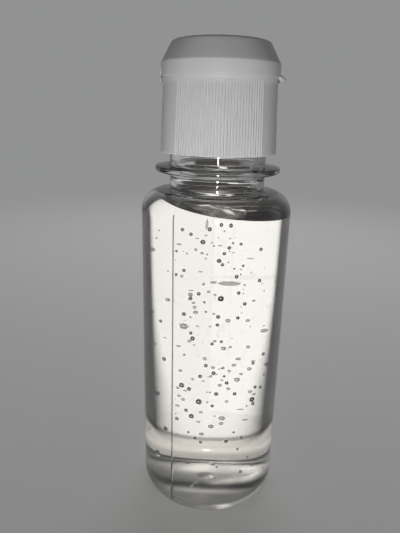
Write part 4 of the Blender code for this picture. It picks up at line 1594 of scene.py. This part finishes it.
@dataclass
class Closure:
    """Flip-top closure: liner, screw cap, lid and living hinge."""

    bottle: Bottle
    finish: Material
    seat_gap: float = 0.3 * MM
    bore_clearance: float = 0.4 * MM
    liner_thickness: float = 0.8 * MM
    liner_width: float = 2.8 * MM
    liner_rounding: float = 0.15 * MM
    skirt_wall: float = 1.3 * MM
    skirt_draft: float = 0.6 * MM
    skirt_rounding: float = 0.3 * MM
    deck_thickness: float = 1.2 * MM
    deck_recess: float = 0.1 * MM
    collar_height: float = 1.2 * MM
    collar_wall: float = 1.0 * MM
    collar_clearance: float = 0.4 * MM
    collar_rounding: float = 0.3 * MM
    spout_base_r: float = 3.4 * MM
    spout_tip_r: float = 2.7 * MM
    spout_height: float = 2.4 * MM
    spout_root_rounding: float = 0.7 * MM
    spout_tip_rounding: float = 0.4 * MM
    orifice_r: float = 1.6 * MM
    orifice_rounding: float = 0.2 * MM
    rib_stand: float = 0.3 * MM
    rib_top_margin: float = 0.55 * MM
    rib_foot_margin: float = 0.12 * MM
    rib_sink: float = 0.17 * MM
    lid_overhang: float = 0.2 * MM
    lid_height: float = 7.8 * MM
    lid_band: float = 3.0 * MM
    lid_draft: float = 0.05 * MM
    lid_band_rounding: float = 0.8 * MM
    lid_top_r: float = 11.4 * MM
    lid_top_rounding: float = 1.3 * MM
    lid_wall: float = 1.5 * MM
    lid_top_thickness: float = 1.4 * MM
    lid_edge_rounding: float = 0.15 * MM
    stopper_clearance: float = 0.35 * MM
    stopper_engagement: float = 1.4 * MM
    stopper_root_r: float = 2.2 * MM
    stopper_root_gap: float = 0.8 * MM
    tab_reach: float = 1.35 * MM
    tab_drop: float = 0.9 * MM
    tab_shoulder: float = 0.9 * MM
    tab_tip: float = 0.5 * MM
    tab_hollow: float = 0.25 * MM
    tab_root: float = 0.9 * MM
    tab_skirt_clearance: float = 0.35 * MM
    tab_half_angle: float = radians(19.0)
    tab_seam_lift: float = 0.02 * MM
    tab_end_share: float = 0.3
    tab_crest_share: float = 0.33
    tab_steps: int = 40
    tab_arc_steps: int = 5
    hinge_height: float = 3.3 * MM
    hinge_below_seam: float = 1.65 * MM
    strap_width: float = 1.5 * MM
    strap_notch: float = 0.1 * MM
    strap_notch_height: float = 0.8 * MM
    strap_gap: float = 0.6 * MM
    strap_rounding: float = 0.06 * MM
    spring_width: float = 2.4 * MM
    spring_bow: float = 0.12 * MM
    pad_root: float = 1.05 * MM
    pad_slope: float = 1.8 * MM
    pad_margin: float = 0.25 * MM
    hinge_rows: int = 24
    seam_closing: float = 0.145 * MM
    seam_rounding: float = 0.03 * MM
    lip_reach: float = 0.12 * MM
    lip_height: float = 1.5 * MM
    film_root: float = 0.45 * MM
    film_root_blend: float = 0.3 * MM
    film_contact: float = 0.03 * MM
    film_gap: float = 0.08 * MM
    film_thickness: float = 0.28 * MM
    thread_offset: float = 1.35 * MM
    thread_height: float = 0.7 * MM
    thread_crest_half: float = 0.25 * MM
    thread_root_half: float = 0.7 * MM
    thread_row_height: float = 0.16 * MM
    lid_row_height: float = 0.7 * MM
    cut_overrun: float = 1.0 * MM

    def __post_init__(self) -> None:
        """Work out the heights and radii that follow from the sizes, and the thread's ridge."""
        self.bottom_z = self.bottle.crown_z + self.bottle.cap_gap
        self.liner_z = self.bottle.rim_z + self.seat_gap
        self.deck_z = self.liner_z + self.liner_thickness + self.seat_gap
        self.deck_top_z = self.deck_z + self.deck_thickness
        self.cap_top_z = self.deck_top_z + self.deck_recess
        self.spout_z = self.deck_top_z + self.spout_height
        self.bore_r = self.bottle.neck_r + self.bore_clearance
        self.skirt_top_r = self.bore_r + self.skirt_wall
        self.lid_z = self.cap_top_z + self.seat_gap
        self.lid_r = self.skirt_top_r + self.rib_stand + self.lid_overhang
        self.lid_inner_r = self.lid_r - self.lid_wall
        self.seam_z = (self.cap_top_z + self.lid_z) / 2
        self.hinge_x, self.hinge_z = -self.skirt_top_r, self.seam_z - self.hinge_below_seam
        self.strap_y = self.spring_width / 2 + self.strap_gap
        self.pad_half_width = self.strap_y + self.strap_width + self.pad_margin
        mate = self.bottle.thread
        self.thread = replace(
            mate, low_z=mate.low_z - self.thread_offset, crest_half=self.thread_crest_half,
            root_half=self.thread_root_half, height=self.thread_height,
        )

    def skirt_r(self, z: float) -> float:
        """Return the skirt's radius at a height."""
        share = (self.cap_top_z - z) / (self.cap_top_z - self.bottom_z)
        return self.skirt_top_r + self.skirt_draft * share

    def cap_stations(self) -> list[Station]:
        """Section of the screw cap, from the bore's lower edge out and over to the deck.

        Returns:
            Stations of a closed section.
        """
        collar_r = self.lid_inner_r - self.collar_clearance
        collar_in_r = collar_r - self.collar_wall
        collar_z = self.deck_top_z + self.collar_height
        top_z = self.cap_top_z + self.seam_closing
        corners = [
            (self.bore_r, self.bottom_z, self.skirt_rounding),
            (self.skirt_r(self.bottom_z), self.bottom_z, self.skirt_rounding),
            (self.skirt_top_r, top_z - self.lip_height, self.lip_height),
            (self.skirt_top_r + self.lip_reach, top_z, self.seam_rounding),
            (collar_r, top_z, self.collar_rounding / 2), (collar_r, collar_z, self.collar_rounding),
            (collar_in_r, collar_z, self.collar_rounding),
            (collar_in_r, self.deck_top_z, self.collar_rounding),
            (self.spout_base_r, self.deck_top_z, self.spout_root_rounding),
            (self.spout_tip_r, self.spout_z, self.spout_tip_rounding),
            (self.orifice_r, self.spout_z, self.orifice_rounding),
            (self.orifice_r, self.deck_z, self.orifice_rounding),
            (self.bore_r, self.deck_z, self.collar_rounding / 2),
        ]
        outline = Section.rounded(corners, closed=True)
        outline.append(outline[0])
        stations = Section.divided(outline, self.thread_row_height)[:-1]
        bore = self.bore_r + MERGE
        return [
            Station(item.r, item.z, Skin.THREADED if abs(item.r - bore) < 2 * MERGE else item.skin)
            for item in stations
        ]

    def build_cap(self) -> Object:
        """Make the screw cap with its inner thread and the pad of its hinge.

        Returns:
            The screw cap's object.
        """

        def relief(station: Station, angle: float) -> float:
            """Return how far the inner thread stands into the bore, as a negative number."""
            threaded = station.skin is Skin.THREADED
            return -self.thread.rise(angle, station.z) if threaded else 0.0

        form = TurnedForm(self.cap_stations(), closed=True, relief=relief)
        cap = Forms.piece("screw_cap", form.build(), self.finish)
        near, far = self.pad_half_width, self.pad_half_width + self.pad_slope
        plan = [
            (self.hinge_x, -near), (self.hinge_x, near), (self.hinge_x + self.pad_root, far),
            (self.hinge_x + self.pad_root, -far),
        ]
        levels = [[(x, y, z) for x, y in plan] for z in (self.hinge_z, self.cap_top_z)]
        pad = Forms.piece("hinge_pad", Forms.lofted(levels))
        Forms.combined(cap, {"UNION": [pad]})
        return cap

    def build_ribs(self) -> list[Object]:
        """Make the front and the back panel of grip ribs.

        Returns:
            Objects of the two panels.
        """
        low_z = self.bottom_z + self.rib_foot_margin
        high_z = self.cap_top_z - self.rib_top_margin
        panels = []
        for name, middle in (("grip_ribs_front", -pi / 2), ("grip_ribs_back", pi / 2)):
            ribs = GripRibs(
                name=name, middle_angle=middle, low_z=low_z, high_z=high_z,
                low_r=self.skirt_r(low_z), high_r=self.skirt_r(high_z) - self.rib_sink,
            )
            panels.append(ribs.build(self.finish))
        return panels

    def lid_stations(self) -> list[Station]:
        """Section of the lid, from the stopper's tip at the axis out and back over the top.

        Returns:
            Stations from the axis back to the axis.
        """
        band_z = self.lid_z + self.lid_band
        top_z = self.lid_z + self.lid_height
        edge_z = self.lid_z - self.seam_closing
        ceiling_z = top_z - self.lid_top_thickness
        stopper_r = self.orifice_r - self.stopper_clearance
        stopper_z = self.spout_z - self.stopper_engagement
        root_z = self.spout_z + self.stopper_root_gap
        ceiling_r = self.lid_top_r - (self.lid_wall + self.lid_top_thickness) / 2
        corners = [
            (0.0, stopper_z), (stopper_r, stopper_z, self.stopper_clearance),
            (stopper_r, root_z, self.lid_edge_rounding),
            (self.stopper_root_r, root_z, self.lid_edge_rounding),
            (self.stopper_root_r, ceiling_z, self.collar_rounding),
            (ceiling_r, ceiling_z, self.lid_top_rounding / 2),
            (self.lid_inner_r, band_z, self.lid_band_rounding),
            (self.lid_inner_r, edge_z, self.seam_rounding),
            (self.lid_r, edge_z, self.seam_rounding),
            (self.lid_r - self.lid_draft, band_z, self.lid_band_rounding),
            (self.lid_top_r, top_z, self.lid_top_rounding), (0.0, top_z),
        ]
        return Section.divided(Section.rounded(corners), self.lid_row_height)

    def tab_section(self, angle: float) -> list[Point3]:
        """Return the section of the thumb tab at an angle from +X.

        Args:
            angle: Angle from +X.

        Returns:
            Points of a closed section.
        """
        share = (angle / self.tab_half_angle) ** 2
        fullness = sqrt(1 - (1 - self.tab_end_share**2) * share)
        reach = self.tab_reach * fullness
        root_r = self.lid_r - self.tab_root
        lip_r = self.skirt_top_r + self.tab_skirt_clearance
        lip_z = self.lid_z - self.tab_drop * fullness
        tip_r = self.lid_r + reach
        tip_low_z = lip_z + self.tab_hollow
        tip_high_z = tip_low_z + self.tab_tip * fullness
        crest_r = tip_r - reach * self.tab_crest_share
        crest_z = self.lid_z + self.tab_hollow * fullness
        shoulder_z = self.lid_z + self.tab_shoulder * fullness
        seam = self.lid_z + self.tab_seam_lift
        rounding = self.tab_hollow / 2
        corners = [
            (root_r, seam), (lip_r, seam), (lip_r, lip_z, rounding / 2),
            ((lip_r + tip_r) / 2, tip_low_z, rounding),
            (tip_r - self.tab_hollow, lip_z + rounding, rounding), (tip_r, tip_low_z, rounding),
            (tip_r, tip_high_z, rounding), (crest_r, crest_z, rounding),
            (self.lid_r - self.lid_draft, shoulder_z), (root_r, shoulder_z),
        ]
        outline = Section.rounded(corners, closed=True, steps=self.tab_arc_steps)
        return [polar(r, angle, z) for r, z in outline]

    def build_lid(self) -> Object:
        """Make the lid with its stopper, thumb tab and hinge pocket.

        Returns:
            The lid's object.
        """
        lid = Forms.piece("flip_top_lid", TurnedForm(self.lid_stations()).build(), self.finish)
        turns = [2 * step / self.tab_steps - 1 for step in range(self.tab_steps + 1)]
        sections = [self.tab_section(self.tab_half_angle * turn) for turn in turns]
        tab = Forms.piece("thumb_tab", Forms.lofted(sections), self.finish)
        pocket_top = self.hinge_z + self.hinge_height + self.seat_gap
        overrun, half = self.cut_overrun, self.pad_half_width
        low = Vector((self.hinge_x - overrun, -half, self.lid_z - overrun))
        high = Vector((self.hinge_x, half, pocket_top))
        block = bmesh.new()
        bmesh.ops.create_cube(block, size=1.0)
        bmesh.ops.scale(block, vec=high - low, verts=block.verts)
        bmesh.ops.translate(block, vec=(high + low) / 2, verts=block.verts)
        pocket = Forms.piece("hinge_pocket", block)
        Forms.combined(lid, {"UNION": [tab], "DIFFERENCE": [pocket]})
        return lid

    def build_liner(self, finish: Material) -> Object:
        """Make the foam washer under the deck.

        Args:
            finish: The foam's material.

        Returns:
            The washer's object.
        """
        outer = self.bore_r - self.bore_clearance
        inner = outer - self.liner_width
        top = self.liner_z + self.liner_thickness
        corners = [
            (inner, self.liner_z, self.liner_rounding), (outer, self.liner_z, self.liner_rounding),
            (outer, top, self.liner_rounding), (inner, top, self.liner_rounding),
        ]
        stations = [Station(r, z) for r, z in Section.rounded(corners, closed=True)]
        return Forms.piece("liner_washer", TurnedForm(stations, closed=True).build(), finish)

    def film(self, low_y: float, high_y: float, bow: float, notch: float) -> BMesh:
        """Make one strip of the living hinge, with rows enough to bend.

        Args:
            low_y: Place of its front edge.
            high_y: Place of its back edge.
            bow: How far its middle bows outwards.
            notch: How far each face is drawn in at the seam.

        Returns:
            The strip's mesh.
        """
        inner_x = self.hinge_x - self.film_gap
        outer_x = inner_x - self.film_thickness
        soft = self.strap_rounding
        sections = []
        for row in range(self.hinge_rows + 1):
            share = row / self.hinge_rows
            z = self.hinge_z + self.hinge_height * share
            away = abs(z - self.seam_z)
            drawn = notch * (1.0 - smooth_step(away / (self.strap_notch_height / 2), 0.0, 1.0))
            shift = bow * sin(pi * share)
            root = smooth_step(away, self.film_root, self.film_root + self.film_root_blend)
            inner = inner_x - shift - drawn + (self.film_gap - self.film_contact) * root
            outer = outer_x - shift + drawn
            front = [(inner, soft), (inner - soft, 0.0), (outer + soft, 0.0), (outer, soft)]
            back = [(x, high_y - y, z) for x, y in reversed(front)]
            sections.append([(x, low_y + y, z) for x, y in front] + back)
        return Forms.lofted(sections)

    def build_hinge(self, finish: Material) -> dict[str, Object]:
        """Make the two straps and the spring leaf.

        Args:
            finish: The hinge's material.

        Returns:
            Objects of the three strips, by node.
        """
        near, half = self.strap_y, self.spring_width / 2
        far = near + self.strap_width
        strips = {
            "hinge_strap_front": ("film_strap_front", -far, -near, 0.0, self.strap_notch),
            "hinge_strap_back": ("film_strap_back", near, far, 0.0, self.strap_notch),
            "hinge_spring": ("spring_leaf", -half, half, self.spring_bow, 0.0),
        }
        return {
            node: Forms.piece(name, self.film(low, high, bow, notch), finish)
            for node, (name, low, high, bow, notch) in strips.items()
        }


@dataclass(frozen=True)
class SoftBox:
    """Soft lamp that faces a point and never shows itself through clear pieces."""

    name: str
    place: Point3
    aim: Point3
    width: float
    height: float
    power: float
    in_gloss: bool = True
    in_diffuse: bool = True
    spread: float = pi

    def hang(self) -> None:
        """Add the lamp to the scene."""
        data = bpy.data.lights.new(self.name, "AREA")
        data.shape = "RECTANGLE"
        data.size, data.size_y = self.width, self.height
        data.energy, data.spread = self.power, self.spread
        lamp = Forms.linked(self.name, data)
        turn = (Vector(self.aim) - Vector(self.place)).to_track_quat("-Z", "Y")
        lamp.matrix_world = Matrix.Translation(self.place) @ turn.to_matrix().to_4x4()
        lamp.visible_camera = lamp.visible_transmission = False
        lamp.visible_glossy, lamp.visible_diffuse = self.in_gloss, self.in_diffuse


class Gleam(NamedTuple):
    """Painted highlight band that the base mirrors: its slope to the side, its half width and its height.
    """

    slope: float
    half: float
    low_only: bool


@dataclass
class TonesBehind:
    """Painted light and shade that rays see once they have come through the object, in the world or on the
    floor.
    """

    sheet: NodeSheet
    direction: NodeSocket
    # Painted light: the pool of light straight behind the gel, which the bottle focuses there.
    painted_pool_of_light: Colour = (1.05, 1.025, 0.99)
    plain: Colour = (0.36, 0.362, 0.366)
    # plain_right is painted shade on the right side.
    plain_right: Colour = (0.15, 0.151, 0.153)
    # Painted shadow straight behind the object.
    painted_shadow_behind: Colour = (0.014, 0.012, 0.009)
    # Painted reflections that the base mirrors, lighter low down, with painted gleams.
    mirrored: Colour = (1.30, 1.26, 1.20)
    mirrored_high: Colour = (0.48, 0.475, 0.46)
    mirrored_left: float = 0.34
    gleam: Colour = (1.78, 1.70, 1.60)
    gleams: Sequence[Gleam] = (Gleam(0.02, 0.032, True), Gleam(-0.195, 0.085, False))
    gleam_low: float = 0.42
    gleam_high: float = 0.62
    core_share: float = 0.4
    # Floor tones: painted shadow underfoot, painted shade in rings round the foot, then lighter.
    near_floor: Colour = (0.80, 0.755, 0.70)
    inner_floor: Colour = (0.52, 0.50, 0.465)
    painted_underfoot_shadow: Colour = (0.16, 0.158, 0.153)
    foot_line: Colour = (0.42, 0.40, 0.375)
    foot_r: float = 15.0 * MM
    inner_r: float = 21.0 * MM
    line_r: float = 26.8 * MM
    line_half: float = 1.2 * MM
    line_foot_share: float = 0.3
    open_r: float = 29.2 * MM
    walls_crossed: float = 4.5
    mirror_start: float = 0.15
    mirror_end: float = 0.62
    mirror_turn: float = 0.2
    turn_start: float = -0.03
    turn_end: float = 0.12
    least_depth: float = 0.0001
    dim_start: float = tan(radians(10.0))
    dim_end: float = tan(radians(15.0))

    def sideways(self) -> NodeSocket:
        """Return how far the ray turns to the right, as a slope, and negative to the left."""
        x, y, _ = self.sheet.parts(self.direction)
        return self.sheet.math("DIVIDE", x, self.sheet.math("MAXIMUM", y, self.least_depth))

    def height_ramp(self, low: float, high: float, *ends: float) -> NodeSocket:
        """Map the ray's height smoothly from a range to 0 and 1, or to other ends."""
        return self.sheet.ramp(self.sheet.parts(self.direction)[2], low, high, *ends)

    def painted_shade_behind(self) -> NodeSocket:
        """Return the tone behind clear plastic: painted shadow straight behind the object, plain beside
        it.

        Returns:
            Colour socket.
        """
        sheet, slope = self.sheet, self.sideways()
        share = sheet.ramp(sheet.math("ABSOLUTE", slope), self.dim_start, self.dim_end)
        turned = sheet.ramp(slope, self.turn_start, self.turn_end)
        return sheet.blend(share, self.painted_shadow_behind, sheet.blend(turned, self.plain, self.plain_right))

    def from_base(self, full: Input) -> NodeSocket:
        """Return the painted reflection that the base mirrors through the gel, with its painted gleams.

        Args:
            full: Tone that it mirrors in the middle, as a colour or its socket.

        Returns:
            Colour socket.
        """
        sheet, slope, turn = self.sheet, self.sideways(), self.mirror_turn
        share = sheet.ramp(slope, -turn, turn, 1.0, self.mirrored_left)
        tone = sheet.blend(share, (0.0, 0.0, 0.0), full)
        low = self.height_ramp(self.gleam_low, self.gleam_high, 1.0, 0.0)
        for gleam in self.gleams:
            away = sheet.math("ABSOLUTE", sheet.math("SUBTRACT", slope, gleam.slope))
            lit = sheet.ramp(away, gleam.half * self.core_share, gleam.half, 1.0, 0.0)
            tone = sheet.blend(sheet.times(lit, low if gleam.low_only else 1.0), tone, self.gleam)
        return tone

    def seen(self, straight: Input, from_base: NodeSocket) -> NodeSocket:
        """Choose the tone that the ray sees.

        Args:
            straight: Tone straight behind the gel.
            from_base: Tone that the base mirrors.

        Returns:
            Colour socket, which is painted shadow behind the empty neck.
        """
        sheet = self.sheet
        path = sheet.add("ShaderNodeLightPath").outputs
        filled = sheet.math("GREATER_THAN", path["Transmission Depth"], self.walls_crossed)
        direct = sheet.math("LESS_THAN", path["Glossy Depth"], 0.5)
        beside = sheet.blend(filled, self.painted_shade_behind(), from_base)
        return sheet.blend(sheet.times(filled, direct), beside, straight)

    def in_world(self) -> NodeSocket:
        """Return the painted tone that the world shows, whose painted reflection is lighter low down.

        Returns:
            Colour socket.
        """
        high = self.height_ramp(self.mirror_start, self.mirror_end)
        full = self.sheet.blend(high, self.mirrored, self.mirrored_high)
        return self.seen(self.painted_pool_of_light, self.from_base(full))

    def on_floor(self, radius: NodeSocket) -> NodeSocket:
        """Return the painted tone that the floor shows: painted shadow underfoot, a darker line, then
        painted light.

        Args:
            radius: How far from the bottle's middle the floor is seen.

        Returns:
            Colour socket.
        """
        sheet, soft, tone = self.sheet, self.line_half, self.painted_underfoot_shadow
        for edge_r, outer in ((self.foot_r, self.inner_floor), (self.inner_r, self.near_floor)):
            tone = sheet.blend(sheet.ramp(radius, edge_r - soft, edge_r + soft), tone, outer)
        away = sheet.math("ABSOLUTE", sheet.math("SUBTRACT", radius, self.line_r))
        line = sheet.ramp(away, soft * self.core_share, soft, 1.0, 0.0)
        tone = sheet.blend(line, tone, self.foot_line)
        far = sheet.ramp(radius, self.line_r + soft * self.line_foot_share, self.open_r)
        return self.seen(sheet.blend(far, tone, self.painted_pool_of_light), self.from_base(self.mirrored))


@dataclass
class Studio:
    """Plain pale floor, even background and soft lamps, which show painted light and shade through the
    object.
    """

    floor_r: float = 1.4
    floor_sides: int = 96
    floor_drop: float = 0.02 * MM
    floor_roughness: float = 0.8
    floor_specular: float = 0.1
    fade_start: float = 0.12
    fade_end: float = 0.55
    floor_colour: Colour = (0.78, 0.78, 0.777)
    background: Colour = (0.285, 0.287, 0.29)
    ambient: Colour = (0.114, 0.114, 0.115)
    lamps: Sequence[SoftBox] = (
        SoftBox(
            "front_strip", place=(0.004, -0.165, 0.092), aim=(0.0, 0.0, 0.094),
            width=12 * MM, height=48 * MM, power=0.045, in_diffuse=False,
        ),
        SoftBox(
            "key_box", place=(-0.012, -0.14, 0.022), aim=(0.0, 0.0, 0.098),
            width=0.05, height=0.05, power=0.03, in_gloss=False, spread=radians(60.0),
        ),
        SoftBox(
            "back_box", place=(0.05, 0.65, 0.55), aim=(0.0, 0.0, 0.06),
            width=0.6, height=0.5, power=2.75, in_gloss=False,
        ),
    )

    def make_world(self) -> None:
        """Make the even background and its soft light, and the painted tones that it shows through the
        object.
        """
        world = bpy.data.worlds.new("studio")
        world.use_nodes = True
        bpy.context.scene.world = world
        sheet = NodeSheet(world.node_tree)
        path = sheet.add("ShaderNodeLightPath").outputs
        direct = sheet.math("MAXIMUM", path["Is Camera Ray"], path["Is Glossy Ray"])
        plain = sheet.blend(direct, self.ambient, self.background)
        direction = sheet.add("ShaderNodeTexCoord").outputs["Generated"]
        # Rays that come through the object see painted light and shade instead of the plain background.
        seen = TonesBehind(sheet, direction).in_world()
        tone = sheet.blend(path["Is Transmission Ray"], plain, seen)
        sheet.fill(world.node_tree.nodes["Background"], {"Color": tone})

    def make_floor(self) -> Object:
        """Make the floor, which fades into the background and can be seen through from below.

        Returns:
            The floor's object.
        """
        bm = bmesh.new()
        bmesh.ops.create_circle(bm, cap_ends=True, radius=self.floor_r, segments=self.floor_sides)
        bmesh.ops.translate(bm, vec=(0.0, 0.0, -self.floor_drop), verts=bm.verts)
        sheet = MaterialSheet("pale_floor")
        sheet.fill(sheet.shader, {
            "Base Color": self.floor_colour, "Roughness": self.floor_roughness,
            "Specular IOR Level": self.floor_specular,
        })
        geometry = sheet.add("ShaderNodeNewGeometry").outputs
        place = geometry["Position"]
        radius = sheet.add("ShaderNodeVectorMath", {0: place}, operation="LENGTH").outputs["Value"]
        # Rays that come through the object see painted light and shade here instead of the lit floor.
        through = sheet.add("ShaderNodeLightPath").outputs["Is Transmission Ray"]
        seen = sheet.out("ShaderNodeEmission", {"Color": TonesBehind(sheet, place).on_floor(radius)})
        lit = sheet.overlay(through, sheet.shader.outputs["BSDF"], seen)
        fade = sheet.ramp(radius, self.fade_start, self.fade_end)
        gone = sheet.math("MAXIMUM", fade, geometry["Backfacing"])
        clear = sheet.out("ShaderNodeBsdfTransparent", {})
        return Forms.piece("studio_floor", bm, sheet.show(sheet.overlay(gone, lit, clear)))

    def build(self) -> None:
        """Make the whole studio."""
        self.make_world()
        self.make_floor()
        for lamp in self.lamps:
            lamp.hang()
        bpy.context.scene.view_settings.view_transform = "Standard"


def dress(item: Object, slot: str, *nodes: str, body: str | None = None) -> None:
    """Fix a piece to its body and hide the nodes that it stands for.

    Args:
        item: Finished piece.
        slot: Material slot of the record; not used.
        nodes: CAD nodes that it replaces.
        body: Body that it moves with, or None where it already bends between two bodies.
    """
    if body is not None:
        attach(item, body)
    if nodes:
        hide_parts(*nodes)
    LOG.info("%s: %d faces, rides on %s", item.name, len(item.data.polygons), body or "two bodies")


def main() -> None:
    """Build the pieces in order, dress them and set up the studio."""
    logging.basicConfig(level=logging.INFO, format="%(name)s: %(message)s")
    view = PhotoView()
    view.make_camera()
    bottle = Bottle()
    dress(bottle.build(), "clear_plastic", "bottle", body="bottle")
    dress(Gel(bottle, view).build(), "gel", "gel_fill", body="bottle")
    foam, white = Finish.LINER.value.make(), Finish.CAP.value.make()
    closure = Closure(bottle, white)
    dress(closure.build_liner(foam), "liner_foam", "sealing_liner", body="liner")
    dress(closure.build_cap(), "cap_plastic", "cap_base", body="cap")
    for panel in closure.build_ribs():
        dress(panel, "cap_plastic", body="cap")
    dress(closure.build_lid(), "cap_plastic", "flip_lid", body="lid")
    for node, strip in closure.build_hinge(Finish.HINGE.value.make()).items():
        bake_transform(strip)
        dress(strip, "cap_plastic", node)
    Studio().build()


if __name__ == "__main__":
    main()
